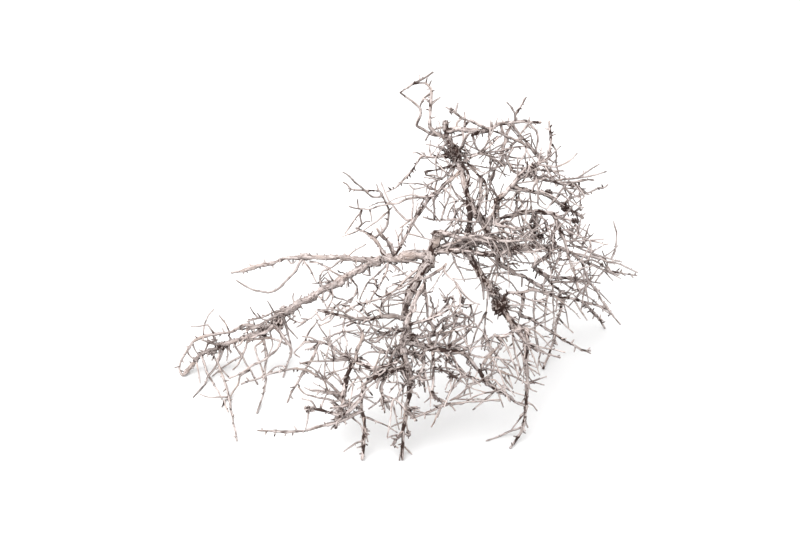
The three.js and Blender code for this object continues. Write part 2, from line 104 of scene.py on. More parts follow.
# Limbs: thickness at root and tip in millimetres, and the route as "across,down,near" in pixels,
# where near counts pixels towards the eye from the plane through the look-at spot
LIMBS = {
    "trunk": (
        12.5, 3,
        "438,231,-30 433,244,-32 428,258,-32 421,272,-28 412,291,-20 406,308,-12 405,322,-5 "
        "404,338,2 403,354,6 408,372,8 409,392,6 406,412,4 403,432,2 402,447,1 402,460,-1",
    ),
    "left_limb": (
        10.5, 4,
        "430,254,-34 410,256,-42 392,258,-50 372,264,-60 352,274,-70 332,286,-78 312,297,-85 "
        "295,306,-92 278,319,-97 262,332,-100 245,338,-102 228,344,-105 212,350,-108 200,356,-110 "
        "192,365,-113 183,376,-119",
    ),
    "left_arm": (
        6.2, 3.8,
        "392,258,-50 368,259,-62 345,258,-72 320,257,-82 303,257,-88 285,259,-95 268,264,-102 "
        "250,269,-108 232,273,-114",
    ),
    "right_limb": (
        10, 3.4,
        "430,252,-34 446,248,-44 462,243,-52 478,241,-58 496,246,-62 515,247,-66 535,246,-70 "
        "556,247,-74 572,253,-78 582,262,-82",
    ),
    "right_foot": (
        8.2, 2.6,
        "460,246,-50 469,255,-46 477,267,-40 484,280,-34 492,292,-28 501,305,-22 510,319,-18 "
        "519,330,-16 526,343,-14 527,360,-13 527,380,-13 526,400,-14 525,416,-15 522,430,-16 "
        "516,440,-18 510,448,-21",
    ),
    "riser": (
        7.2, 5,
        "492,247,-61 489,234,-58 482,221,-58 474,209,-60 468,195,-62 464,180,-64 460,166,-66 "
        "456,154,-66 449,143,-66 446,130,-66 446,121,-66",
    ),
    "top_bar": (
        5.8, 2.8,
        "446,130,-66 458,129,-68 472,132,-70 488,130,-74 500,124,-78 512,122,-82 526,122,-88 "
        "541,122,-94",
    ),
    "top_spire": (
        4, 2,
        "447,138,-66 436,134,-62 430,126,-60 430,112,-60 431,98,-60 431,88,-60 425,83,-58 "
        "413,84,-56 405,89,-54 400,93,-52",
    ),
    "right_rise": (
        5.4, 2,
        "484,226,-58 494,214,-50 498,200,-46 508,190,-42 518,181,-40 530,172,-38 538,163,-38 "
        "549,157,-38 551,142,-40 549,121,-42",
    ),
    "right_fan": (
        4.4, 2.8,
        "512,187,-41 530,191,-44 545,195,-50 558,202,-56 570,210,-62 583,218,-68",
    ),
    "right_arch": (
        5, 2.6,
        "486,227,-58 505,217,-52 520,213,-50 537,212,-50 553,213,-52 558,224,-54 563,238,-56 "
        "567,252,-58 572,266,-60 576,280,-62 579,291,-64",
    ),
    "back_elbow": (
        5, 3,
        "556,247,-74 545,258,-92 534,267,-104 545,276,-114 560,278,-124 575,279,-132 588,282,-138",
    ),
    "right_reach": (
        4.4, 2.2,
        "494,250,-62 500,264,-66 510,270,-72 522,276,-78 532,281,-84 541,287,-88 548,294,-92 "
        "563,298,-98 580,301,-108 600,306,-122 611,311,-132",
    ),
    "right_prop": (
        3.2, 2.2,
        "563,298,-98 560,312,-106 556,325,-112 554,338,-118 550,352,-124 546,362,-129 "
        "543,369,-136",
    ),
    "far_prop": (3, 2.2, "580,301,-108 587,306,-125 593,312,-142 600,320,-167 605,328,-195"),
    "low_right": (
        6.4, 2.8,
        "403,342,3 418,346,8 432,348,12 448,350,14 462,353,14 472,362,12 480,373,8 487,384,4 "
        "498,390,-2 508,396,-6 516,402,-10 525,406,-14",
    ),
    "left_foot": (
        5.6, 2.8,
        "407,366,8 396,370,14 383,372,18 371,378,20 364,388,18 361,399,14 362,410,10 365,424,6 "
        "364,436,3 363,448,1 362,460,-1",
    ),
    "left_shelf": (
        5, 2.4,
        "405,320,-4 395,316,0 383,316,4 371,319,6 358,319,6 345,317,4 333,314,2 318,310,0",
    ),
    "left_post": (
        5.6, 4.2,
        "383,372,18 368,368,14 355,361,8 350,368,8 347,379,8 344,392,6 343,402,4 340,412,2 "
        "337,421,0 335,428,-3",
    ),
}

# Side branches, one a row: thickness at the root in millimetres, lean in pixels towards the eye, and the
# route as "across,down", growing from the nearest wood laid before it
BRANCHES = """
4.4 10 263,325 247,325 232,331 214,335 201,337 193,342 187,351 181,361 180,369 183,376
3.2 14 290,308 274,312 258,318 247,322
3.2 34 266,336 266,356 265,370 266,382 263,394 257,413
3.0 55 222,347 218,360 222,374 227,388 230,402 233,421 237,441
5.0 -14 392,258 383,253 378,245 373,238 366,233 358,230 355,228
5.2 22 396,257 391,247 386,240 381,234 377,228
3.4 20 374,239 381,233 387,226 389,218 389,210 386,203 382,196 380,192 372,191 360,190 348,189
3.2 30 394,258 400,247 407,233 412,221 417,212 422,203 426,197 434,195
4.4 6 356,361 356,352 359,343 362,334 358,326
3.8 -14 352,360 342,353 332,346 320,342 305,342
3.4 -26 320,343 314,355 310,362 303,374 297,384 292,392 287,402
3.0 -30 343,396 328,382 308,371 296,368 280,371 267,375 255,380 241,384
4.0 -6 357,411 348,418 337,422 325,426 312,429 300,431 290,432 275,431 258,430
4.4 4 352,414 340,416 330,413 320,410 309,409
3.6 6 361,400 352,404 342,406 330,408
3.0 -8 342,403 337,394 325,391 310,390
3.8 12 433,349 434,365 433,380 432,392 436,398 445,402 450,405
3.2 8 450,352 456,363 461,372 460,380 452,390 446,399
3.2 10 425,349 424,362 424,376 424,385 425,392
3.6 -10 478,371 490,370 500,371 512,376 520,380 527,384
3.0 14 483,371 482,365 487,358 495,350 501,343 494,334
3.8 -24 500,304 508,293 520,292 534,290 548,294
3.4 -10 522,292 523,303 520,315 532,320 545,328 555,334 565,341 575,346 581,350 590,351
3.2 -30 545,277 553,285 563,292 570,297
3.0 -40 582,262 587,277 590,284 597,292 602,302 608,309 614,316
3.0 -30 580,262 592,264 600,268 606,271 615,272 625,274 637,276
4.8 10 535,246 533,238 531,225 534,212
3.6 10 519,339 525,344 535,348 547,354 560,358
3.0 -12 447,157 436,157 421,157 414,168 405,178 395,188 387,192
3.0 12 460,155 475,154 490,152 505,149 525,146
3.6 -10 512,122 516,130 521,138 530,146 540,156 548,163
3.4 10 462,166 472,157 481,153 491,145 499,136
3.2 14 531,123 525,128 520,134
3.2 -14 530,173 540,178 552,182 562,185 575,182 583,180 594,180
2.8 -30 562,204 570,199 580,195 590,192 598,188 603,188 608,184
3.2 12 470,167 478,175 484,180 487,190 486,205 485,218
2.8 16 484,222 470,222 455,220 441,220 430,219 423,217
3.2 -14 433,240 446,236 458,233 470,236 484,240
3.0 16 404,331 385,328 368,325 355,323 346,326
3.6 12 390,342 381,338 376,342 370,341
3.4 14 390,370 385,380 381,388 383,400 385,413
"""

# Twigs, one a row: the route as "across,down", growing in the same way
TWIGS = """
# Left limb
192,343 196,351 200,357
203,337 205,323 209,315 214,309
214,334 208,325 200,326 191,327
230,331 226,324 219,315
259,320 254,313 250,307
274,311 270,305 267,301
202,357 207,372 212,382 217,390 222,399
196,360 198,368 199,376 200,383
227,350 218,364 209,375 205,384 199,391 193,397
213,352 218,364 224,371 230,378
234,344 241,355 246,364 250,369 254,377 258,385
280,322 281,338 275,350 266,358 250,368 237,375 229,378
249,339 246,347 242,357 238,365 233,370
272,330 272,345 267,360
284,318 289,335 291,350 288,362 283,377
250,351 240,357 230,362 222,368 212,376
225,399 211,397 199,394
283,319 288,327 293,334 298,339
286,316 292,320 301,323
# Upper left arm
303,257 309,268 316,282
303,258 295,271 287,280 278,288 268,293 255,290 243,285 236,280
350,276 338,280 325,282 312,284
320,285 322,278 328,272
345,258 337,263 329,268 318,263 309,261
345,258 351,254 357,249 366,244
294,304 293,298 294,293
318,296 325,304 328,310
330,289 334,297 343,299 351,303
# Upper middle
389,211 381,217 372,224 362,231
358,230 350,234 342,237
357,229 362,224 360,216 362,210 355,208 349,206
382,195 372,197 362,189 353,180 343,172
412,220 407,220 400,214 393,207 388,199 381,182
426,197 412,195 400,197 390,201
425,198 410,198 395,203 380,206 369,209 360,209
412,222 413,205 413,188
447,170 441,179 432,183 424,187 414,189 410,185
412,219 405,224 399,228
407,233 418,237 434,240
422,203 433,213 440,222
430,252 416,250 414,243
435,219 434,205 435,195 443,186 450,180
441,219 445,207 448,199 451,184
456,154 455,168 451,180 452,186 457,196 466,205
# Top
413,84 423,79 433,72
431,92 425,97 421,104 420,109
447,139 436,135 426,131 417,127 420,117 420,109 410,100 400,92
431,106 435,101 440,97
464,130 465,120 459,117 452,111 446,107
466,127 471,121 480,125 490,129
447,141 441,149 436,157
424,157 417,153 413,153
462,131 463,142 466,152
472,134 475,145 480,152
490,131 489,140 490,152
515,123 516,114 511,107 507,103
516,115 521,106 526,97
500,124 506,140 500,153 506,165
530,123 536,131 538,140 537,150
# Upper right
549,158 556,151 561,146
551,143 556,150 556,162 560,178
540,168 555,167 565,163 571,159 577,153
552,181 565,179 575,178 590,176 607,172
575,179 583,174 592,168 599,164
562,185 566,188 577,189 586,189
570,184 580,187 588,193
566,187 560,192 554,200 547,209
579,184 580,200 580,210
520,213 516,203 520,192
# Right
558,218 570,220 578,227 588,232
575,225 571,232 570,242
564,240 571,241 580,241 592,240 604,239
560,230 570,232 580,236 590,240
590,240 592,249 590,256 587,261
570,245 582,250 592,253 600,256 610,259 622,262
611,259 615,250 616,242 616,232 614,221
585,254 600,258 610,263 620,265 630,269 638,272
606,271 608,264 605,258 602,251
608,265 613,273 620,275
606,271 600,275 595,282
590,284 580,290 570,295
579,290 588,297 598,305 603,308
563,292 572,294 580,301
572,299 580,310 587,320
553,285 553,300 554,315 553,330
548,294 545,310 545,330
535,292 534,310 535,330 537,345
534,298 545,307 553,313
548,294 557,297 556,312
576,280 588,281 600,283
# Middle right
520,214 527,224 533,234
515,248 525,256 530,264
500,262 495,270 490,285 489,300
499,262 492,268 488,280 487,300 486,312
# Lower right
517,328 528,329 534,330 539,334 545,341 550,347
554,338 551,341 545,347
527,343 540,347 550,349 565,352
581,350 586,352 591,354
527,382 535,381 546,377
527,384 536,383 544,385
528,387 533,390 537,392
498,330 506,345 511,358 516,368 519,378
483,379 490,376 498,372
485,380 495,380 500,386 505,392
497,390 490,396 480,404 473,410
498,391 501,400 503,407
482,380 470,386 460,394 450,401
448,404 465,402 480,401 500,400
447,403 440,406 430,411 420,415 410,418
443,405 437,415 434,422 431,427
449,404 452,407 455,411
523,427 512,431 500,436 486,441
524,411 519,420 512,430
524,419 528,428
527,401 533,405 537,411
492,320 484,336 481,349
475,335 489,345 500,358 508,368 513,375
462,353 480,357 495,358 512,360
# Lower middle
448,350 450,335 456,322 455,308 453,295
452,300 450,297 447,304 436,316 418,323 408,324
408,318 416,300 424,290 425,280 440,270 446,264
446,264 445,273 455,282 462,297
425,282 426,300 427,317
405,345 396,350 388,353 378,352 371,346
447,352 446,366 450,374 458,381
409,385 395,383 386,383
# Lower left
383,394 392,398 400,403 405,409
382,396 376,404 369,409
384,402 392,401 400,396 408,392
391,401 391,415 389,428 387,437
402,435 393,436 387,438
402,430 396,439 393,444 390,446
402,445 408,450 412,454
404,420 407,425 408,434
404,420 397,424 391,427
407,409 412,407 416,407
406,412 412,416 416,421
365,417 377,422 387,426 397,432
363,441 356,443 349,448 344,452
364,432 369,435
351,418 360,424 363,433
340,424 331,430
309,410 307,421 305,429
344,399 335,401 318,398 306,394 298,387
321,410 323,403 326,396 330,389
316,409 312,402 302,399
363,392 357,397 350,404
344,388 340,378 334,370 333,360
343,392 329,393 325,381 320,372
364,386 359,376 352,384 348,392
# Middle left
352,361 335,361 315,362 300,364
305,342 310,331 318,320
335,314 330,321 320,326
345,317 343,331 335,335 323,340
343,331 352,331 358,330
343,332 346,340 348,346
354,319 345,313 338,308 332,302
345,312 355,306 365,303 375,301
328,309 333,297 328,290
371,319 366,314 363,309 367,299
390,316 382,311 375,304
384,312 384,307 395,305 403,303
381,309 388,298 400,291 410,290
404,331 390,336 378,331 371,327
421,273 410,280 400,286 390,294
412,291 402,294 392,298 380,299
"""

# Inner twigs, laid after the others
INNER_TWIGS = """
497,226 510,222 520,232 530,240 538,249
505,218 503,228 500,240
487,236 497,240 507,242 520,240 533,241
494,215 488,224 480,232 476,244
462,243 470,250 478,252 490,255
505,264 513,263 520,266
497,275 505,272 515,273 522,277
528,248 534,256 535,262
456,322 462,312 472,318 478,305
434,348 437,335 430,320 440,312 450,306
456,282 463,292 472,302 480,305
416,300 418,293 411,289
391,352 380,352 368,353 360,357
403,353 394,362 390,372
432,348 425,335 418,328 410,330
448,350 443,338 452,330 462,326 472,328
410,355 420,360 424,365
461,373 452,378 447,384 445,390
411,370 415,379 419,380
404,386 398,395 396,404
409,393 416,393 419,398
370,378 363,372 360,366
350,359 340,358 332,355
320,343 312,347 305,350
332,314 322,320 316,312
343,311 330,309 322,309
303,325 311,318 318,312
424,267 414,272 404,280 392,284
489,313 480,323 475,335 470,350
468,356 474,348 489,345
556,249 545,257 536,266
560,250 557,262 551,272 550,280
545,260 554,268 560,275
574,270 583,268 592,266
555,222 548,230 540,234
537,213 537,222 536,232
530,190 531,201 538,203
500,200 507,207 514,213
478,176 477,185 472,197
512,148 508,160 515,173 525,172
470,200 462,205 455,216 448,228 440,236
402,243 402,228 406,222
507,317 512,330 513,345 517,360 521,372
514,336 518,345 522,353 526,360
325,381 330,376 333,371
262,340 256,345 255,349 260,363 264,377
186,351 190,355 196,361
496,214 503,205 512,198 522,190
506,165 490,170 482,176
527,160 528,172 536,178 538,192
538,192 538,205 546,209
# Between the left limb and the trunk
390,262 378,273 367,284 363,291 360,300
401,284 394,285 387,288
352,280 357,287 355,292 353,298 351,303
358,289 358,294 357,299
354,301 346,303 340,305 332,308
367,269 369,272 371,275
342,275 333,271 325,267 318,263 309,262
329,269 323,271 320,277 320,284
355,322 348,318 337,315 328,311 317,309
321,319 318,315 316,311
371,328 378,331 385,332
371,330 378,335 386,338 391,338
404,300 396,300 388,300
404,298 399,297 394,295
425,280 426,292 427,304 428,318
420,262 410,261 402,261
402,257 402,264 403,270
404,275 398,275 392,277
427,306 434,309 434,318
306,341 299,347 294,353 300,357
318,339 310,337 302,336
334,362 334,352 336,345
330,346 330,338 330,330
287,261 292,264 296,261
# Upper left fork
386,201 379,203 369,207
370,210 371,216 372,222
362,210 355,219 345,233
359,208 358,203 358,199
361,225 365,222 370,222
351,187 347,184 343,182
378,191 378,188 377,184
400,248 398,238 395,229
398,241 399,236 404,229
413,223 419,231 424,238
416,214 416,208 418,203
436,195 436,188 437,180 432,178 424,178
436,190 431,189 427,187 426,193
# Crown
454,112 457,107 458,103
446,127 438,128 432,131 428,136 426,140
465,128 465,120 464,112
456,128 458,122 463,118
463,134 458,136 450,137
489,156 490,164 491,171
488,156 496,161 504,164 514,165 523,165
506,154 508,162 511,170 517,174
518,141 524,136 530,133
521,142 527,138 531,135
525,147 528,153 530,161
523,151 525,158 527,164
426,172 426,175 433,175 441,178
435,159 436,168 437,176
431,156 430,149 430,140
452,142 452,155 453,168 453,178
454,201 450,210 447,219
455,210 457,214 460,220
460,207 461,212 461,218
441,186 450,195 459,202
489,187 493,192 497,197
518,190 512,202 508,213
521,193 517,203 514,212
526,198 523,204 520,210
536,216 544,219 548,224 546,231 540,236
# Heart
489,230 494,240 499,250 503,256
497,226 502,236 508,246
505,231 510,240 516,247
484,246 477,243 474,250
444,238 450,250 454,258
460,242 458,248 455,255
452,258 457,266 461,273 465,282
509,300 518,303 526,309
508,308 516,307 523,312
# Right
540,170 552,170 564,171
548,162 548,172 545,181
583,178 583,175 584,171
564,189 566,192 568,196
545,189 543,191 545,194
549,189 551,191 553,194
571,237 569,231 566,225
571,237 572,231 572,225
572,239 574,234 578,228
552,237 557,230 562,223
577,236 577,231 576,226
584,244 586,235 590,224
590,241 600,243 608,245
573,238 585,247 593,252
572,250 580,254 590,257 599,260
583,262 592,260 600,264 608,270 618,275
606,272 609,276 613,280
602,300 608,309 614,317 620,324
593,303 602,308 611,315
560,318 567,327 573,333
562,283 570,287 576,291
# Below
457,281 460,291 463,301
459,305 466,305 474,304
457,296 460,306 461,313
450,317 458,313 466,316 474,323
468,315 464,325 467,331
470,308 474,317 473,326
457,333 463,338 467,341
489,329 487,340 485,351
494,333 491,343 490,352
483,332 482,338 481,344
464,372 466,380 468,385
493,360 493,365 494,371
504,377 505,380 507,384
452,399 462,396 473,393
529,346 534,349 538,352
530,366 535,371 540,375
364,397 370,400 376,404
364,434 367,438 368,442
402,448 400,455 399,461
# Left limb
268,374 274,368 280,366 287,367
248,371 241,376 239,385 233,392 229,398 223,401
225,401 226,406 228,412
226,401 224,404 222,407
229,350 228,355 227,361
263,346 264,350 261,352
"""

# Thicker wood inside the tangle, laid as the side branches are
INNER_BRANCHES = """
7.4 8 437,234 446,233 455,236 464,239 474,240 486,240
6.8 12 430,254 441,251 455,251 470,252 484,253 497,252
5.0 16 461,170 455,176 448,183 441,189 434,195 427,202 421,211 414,221 408,232 402,243 397,253
5.5 10 421,284 418,294 413,306 410,318 408,330
4.0 14 503,192 497,199 495,213 496,224
5.0 18 506,231 516,229 529,227
6.0 20 489,236 497,238 508,242 520,246
5.2 -10 533,211 535,224 536,238 534,247
4.4 16 553,214 556,226 551,236 556,246
5.0 12 402,330 410,335 420,338 430,334
5.5 14 404,345 396,350 390,358 388,368
5.0 20 410,352 418,356 424,364 420,374 410,380
4.8 10 405,345 414,341 425,345 436,343 448,347
4.6 16 421,300 415,310 408,316 405,325
4.4 14 385,372 379,380 377,388
4.2 18 455,153 462,146 466,139 470,132
4.6 -16 452,154 449,146 450,139 446,131
4.8 12 459,163 466,168 469,178 466,188
4.0 16 512,188 518,178 526,170 533,163
3.8 16 437,327 444,320 452,316 462,311
4.4 12 448,350 455,343 463,337 470,329
4.0 20 500,300 494,290 492,281
4.4 -14 508,318 514,326 519,334 524,340
2.8 12 390,262 386,273 382,281 377,290 371,298
2.6 10 392,263 397,268 403,273 408,277 410,282
3.8 8 421,265 413,273 405,280 399,287
3.0 -6 445,266 436,272 424,278 412,282 404,286 396,290 386,295 376,299 366,302 353,306 345,312
2.8 8 392,293 386,299 381,306
3.2 12 410,325 418,322 430,319 440,314 450,308 454,299
3.2 10 426,340 436,335 444,330 451,325
3.2 38 548,163 540,158 534,151 526,145 516,140 506,136 493,131 480,126 470,121 462,118 453,111
3.6 6 512,124 508,132 505,140 504,150 503,156 498,165 494,172 489,181
3.0 8 519,139 512,146 506,152 502,160
4.6 8 482,177 481,188 480,200 477,210 480,221
3.2 10 497,171 494,176 489,184
3.0 8 540,173 547,175 552,180 560,183 568,185 574,187
3.0 8 553,213 559,216 566,218 576,221
3.2 -6 551,281 565,282 580,281 590,282
4.2 10 498,335 506,336 513,332 519,329
5.2 6 523,326 527,331 528,339 528,350
4.2 8 441,330 448,326 457,323
3.4 10 430,339 436,334 442,330
4.6 10 449,348 458,345 467,350
3.0 8 464,377 472,377 479,379
5.5 6 342,404 350,404 357,406 362,411
4.8 8 340,415 349,411 357,404
4.8 12 371,378 378,368 388,366 397,362
3.2 8 408,411 412,409 417,407
3.4 8 407,411 412,416 417,421
2.8 4 450,403 440,407 426,414 412,419
3.0 8 403,430 398,437 393,444 398,448
4.6 8 291,307 279,314 268,321 258,326 246,330
4.4 6 284,316 273,325 264,333 252,337 242,338
3.6 14 433,250 446,246 460,240 475,238 490,243
3.6 16 440,253 455,250 470,251 485,254 500,250
3.0 16 462,238 478,236 495,240 512,241 530,240
3.2 14 478,252 495,256 512,250 530,247 548,250
3.0 18 488,246 505,244 520,241 535,236 548,231
3.0 18 470,243 485,236 500,233 515,234
3.0 16 500,255 515,251 530,252 545,248
4.4 14 274,326 280,332 286,341 291,349 291,357
3.2 10 246,340 258,339 270,338 280,341 287,345
3.2 6 222,346 212,343 202,340
"""

# Stems kept dark, laid as the side branches are. Most keep their dark bark; the one from 472,258 down to
# 484,299 and the short one under the top bar at 480,132 are painted shade.
DARK_BARK_AND_SHADE_BRANCHES = """
4.6 12 472,258 478,270 481,280 483,290 484,299
5.5 16 412,289 407,297 405,307 406,320
5.0 10 500,194 496,200 495,208 494,215
3.4 10 456,166 446,168 436,170 425,172
4.6 10 480,132 476,134 472,136
5.4 16 389,371 381,374 373,379
3.6 14 437,368 444,371 450,375 457,378
4.2 14 430,392 434,396 438,400
5.0 12 447,133 448,140 451,147
4.6 12 464,244 470,245 477,246
7.0 4 469,197 470,205 470,213 468,225 467,237
2.6 4 413,84 423,79 433,72
2.4 4 516,115 521,106 526,97
3.4 -4 551,142 550,132 549,122
"""

# Spurs of the solid, and the smaller ones between them: spacing, length and diameters in millimetres
SPUR_STEP = 62
SPUR_LENGTH = (6, 13)
SPUR_DIAMETER = (3.2, 1.8)
NUB_STEP = 8
NUB_LENGTH = (1.5, 6.0)
NUB_DIAMETER = (2.9, 1.5)
BUD_STEP = 15
BUD_LENGTH = (0.6, 2.2)
BUD_DIAMETER = (1.6, 0.9)

# Stubs lean along the wood by a share of their length, and stand at steps that vary by these factors
SPUR_RISE = 0.45
STUB_SPREAD = (0.4, 1.6)
STUB_SIDES = 6
STUB_RINGS = 3
STUB_BARK = (0.2, 1.0)

# Galls and knots on the wood, each as across, down, radius in millimetres and how wide its pits are, which
# are painted dark as shade
KNOTS = """
458,154,11,2.0 447,124,5.2,1.0 500,305,13.5,2.0 222,347,7,1.3 275,318,10.5,0.9 404,335,8.5,1.4
534,170,6.5,1.7 565,208,6.5,2.0 310,410,5,1.2 505,252,7,1.9 409,382,6.5,1.3
"""

# Smaller knots, laid in the same way
# The small knot at 480,134, under the top bar, is painted dark as shade.
SMALL_KNOTS = """
448,154,6.5,2.0 449,142,5.5,1.8 497,291,7.5,1.0 262,332,8.5,0.9 285,311,8,0.4 294,306,4.5,0.6
253,336,5,0.4 243,339,4.5,0.6 213,352,5,1.0 203,355,4,0.7 196,359,4,0.8 187,371,3.2,0.7 331,287,5,0.8
345,278,5,0.7 362,269,5,0.8 383,261,6,0.9 383,375,5.5,2.0 418,345,5,1.3 345,412,5,1.2 352,362,4.5,1.2
515,254,7,1.9 495,243,6,1.4 543,238,5.5,1.9 556,236,4,1.5 497,207,4,1.8 576,219,4.5,2.0 462,172,5,1.8
527,178,4.5,1.5 466,229,6,1.8 454,373,4,1.9 452,352,3.5,1.2 513,328,4,1.3 441,398,3,1.2 562,293,3.5,1.7
575,279,3.5,1.6 407,436,3.5,1.2 394,443,3,1.2 524,424,3,1.0 480,134,3.6,1.8 452,110,3.4,1.5
435,194,2.8,1.5 547,188,4.4,1.8 524,229,3.8,1.8 470,246,4.6,2.0 602,263,2.8,1.8 465,301,3.2,1.6
447,337,3.2,1.6 439,369,2.8,1.7 483,366,3.2,1.7 506,394,3.2,1.7 208,347,3.6,1.0
"""

# A knot is longer along the wood than across. It is pitted like a comb, with painted shade in its pits and
# bark on its walls, and stubs stand out of it.
# Sizes are shares of its radius.
KNOT_LEVELS = 4
KNOT_STRETCH = 1.45
KNOT_BODY = 0.72
KNOT_PIT = 0.34
KNOT_PIT_MIDDLE = 0.5
KNOT_PITS_ACROSS = 2.4
KNOT_PIT_SHADE = 2.0
KNOT_WALL = 0.3
KNOT_WALL_BARK = 0.3
KNOT_LUMP = 0.4
KNOT_LUMPS_ACROSS = 1.5
KNOT_STUBS = 7
KNOT_STUB_BARK = np.array((0.45, 0.9))
KNOT_STUB_LENGTH = (0.8, 1.35)
KNOT_STUB_DIAMETER = (2.4, 1.5)

# Looks of wood: sides round it, ring spacing, furrow depth, range of bark, crookedness and lumpiness
Look = namedtuple("Look", "sides step furrow bark crook lump")
LIMB_LOOK = Look(18, 1.5 * MM, 0.3, (0.75, 1.1), 0.4, 0.5)
PALE_LOOK = Look(18, 1.5 * MM, 0.34, (0.32, 0.42), 0.4, 0.6)
BRANCH_LOOK = Look(10, 2.2 * MM, 0.26, (0.35, 1.0), 0.5, 0.5)
BARE_LOOK = Look(10, 2.2 * MM, 0.26, (0.15, 0.5), 0.5, 0.5)
DARK_BARK_AND_SHADE_LOOK = Look(12, 2.0 * MM, 0.3, (1.35, 1.9), 0.5, 0.5)
TWIG_LOOK = Look(6, 3.0 * MM, 0.0, (0.1, 0.65), 0.7, 0.25)

# Limbs that have lost most of their bark
PALE_LIMBS = ("left_limb", "left_arm")
PALE_TONE = 0.45

# Branches and short twigs left of this place in the picture, in pixels across, have lost part of their bark
BARE_SIDE = 345
BARE_SHARE = 0.5

# Bark and swellings stand this much proud of the solid's limbs and branches, across both sides
LIMB_BARK = 1.2 * MM
TIP_BARK = 0.4 * MM
BRANCH_BARK = 0.4 * MM

# Painted shade round the root of a stick, where it joins the wood it grows from, carried in the bark value,
# and how far it reaches along it
ROOT_SHADE = 0.7
ROOT_SHADE_REACH = 5 * MM

# Bends go from 0, for sharp corners, to 1, for full curves, with at least so many steps from point to point.
# Tips stand out by a share of their radius, and no wood comes lower than the clearance.
ROUNDNESS = 0.55
STEPS_LEAST = 2
TIP_ROUND = 0.8
FLOOR_CLEARANCE = 0.05 * MM

# A line that starts steeper than this has its first ring set out from the X axis
STEEP = 0.9

# Bark furrows: how often they come round and along the wood, per metre, how far a stick's own number shifts
# them, their middle height, and the scale of the broader swelling under them
FURROW_ACROSS = 420
FURROW_ALONG = 45
FURROW_STICK_SHIFT = 10
FURROW_MIDDLE = 0.5
SWELLING_SCALE = 0.4

# Crooked growth: how often the wood wanders along its length, the layer of noise that it follows, and the
# length from its root over which that sets in. It has lumps too, and swells at its joints.
CROOK_PER_METRE = 55
CROOK_LAYER = 0.5
CROOK_EASE = 8 * MM
LUMPS_PER_METRE = 110
JOINT_SPACING = 13 * MM
JOINT_SWELL = 0.3
JOINT_SHARPNESS = 8

# Fine side twigs fill the tangle. Each thicket is a stretch of the picture, by its middle and half
# sizes in pixels, with the spacing in millimetres at which the wood in it sends out fine twigs.
THICKETS = {
    "crown": (488, 180, 70, 44, 15),
    "right_fan": (548, 240, 62, 66, 18),
    "heart": (488, 250, 55, 42, 17),
    "lower_middle": (415, 365, 105, 55, 18),
    "foot": (485, 350, 62, 50, 22),
}
THICKET_SPREAD = (0.5, 1.5)
THICKET_PACE = 10 * MM
THICKET_SPAN = (0.1, 0.7)

# Fine twigs: length and diameters in millimetres, slant off the wood in radians, and how they joint and fork
FINE_LENGTH = (12, 62)
FINE_SHORTNESS = 1.5
FINE_DIAMETER = (2.5, 1.5)
FINE_FULLNESS = (0.8, 1.1)
FINE_ANGLE = (0.45, 1.2)
FINE_BARK = (0.1, 0.6)
FINE_KINK = 0.16
FINE_JOINT = 6 * MM
FINE_JOINTS_LEAST = 2
FINE_STEP = 4 * MM
FINE_SIDES = 5
FORK_CHANCE = 0.35
FORK_LENGTH = 0.55
FORK_FULLNESS = 0.85

# Fine twigs keep within this much of the solid's box
BOX_ROOM = 4 * MM

# Brooms are bunches of short crooked twigs, each as across, down, half size in pixels and number of twigs
BROOMS = """
405,340,10,26 420,348,10,22 392,366,10,32 412,376,9,26 402,356,12,28 427,360,10,12 345,412,9,20
353,360,7,14 437,332,8,14 450,353,7,14 456,152,10,24 533,171,9,26 500,303,7,14 503,250,10,30
545,243,9,24 557,262,8,12 573,213,7,12 275,318,9,12 296,309,8,16 325,287,9,16 262,333,8,10 243,334,7,10
212,349,8,10 222,347,8,10 352,270,8,10 375,276,12,14 370,306,14,16 340,309,7,8 440,300,8,8 404,440,6,10
"""
BROOM_LENGTH = (5, 19)
BROOM_FULLNESS = (0.9, 1.3)
BROOM_BARK = (0.4, 1.3)
BROOM_KINK = 0.5

# Outline of the whole branch in the picture, which fine twigs stay inside
OUTLINE = """
400,86 432,72 446,106 470,116 505,110 523,97 530,118 552,120 560,150 600,164 608,187 588,202 600,226
617,222 623,254 637,271 618,286 611,322 590,353 562,366 548,387 536,392 529,405 505,404 480,407 455,410
436,419 416,420 408,440 396,440 388,430 366,424 362,440 352,424 330,430 300,431 262,430 300,400 281,386
266,400 258,392 236,400 224,400 196,394 182,376 190,343 205,315 235,326 270,311 300,296 322,278 268,288
240,280 236,268 290,255 345,256 366,242 346,234 352,190 346,174 374,186 400,182 418,156 430,138 420,116
"""

# Colours of sun-bleached wood, from its cracks to its palest face, of tan, and of matted bark, which also
# paints the shade in knot pits, round the roots of sticks and on some dark stems
CRACK = (0.088, 0.053, 0.041)
GREY = (0.475, 0.406, 0.385)
PALE = (0.68, 0.603, 0.58)
TAN = (0.48, 0.37, 0.312)
BARK_AND_SHADE_COLOUR = (0.027, 0.009, 0.005)
STREAK_COLOURS = ((0.33, CRACK), (0.66, PALE), (0.48, GREY))

# Noise over the wood: scales across and along the grain, per metre, and detail
STREAKS = ((900, 900, 70), 5.0)
FLAKES = ((190, 190, 80), 3.5)
SPOTS = ((90, 90, 30), 3.0)

# Ranges of the material, each taken from its first two values to its last two
TAN_SPOTS = (0.52, 0.7, 0, 0.6)
STICK_TONES = (0, 1, 0.86, 1.28)
# Painted light on faces that look up and painted shade on faces that look down, scaled by the height of the
# surface normal
TOP_LIGHT_AND_UNDER_SHADE_TONES = (-0.8, 0.6, 0.26, 1.1)
FLAKE_EDGES = (0.52, 0.57, 0, 0.95)
FLAKED_BARK = (0.1, 0.8, 0, 1)
FULL_BARK_AND_SHADE = (1.1, 1.8, 0, 0.97)

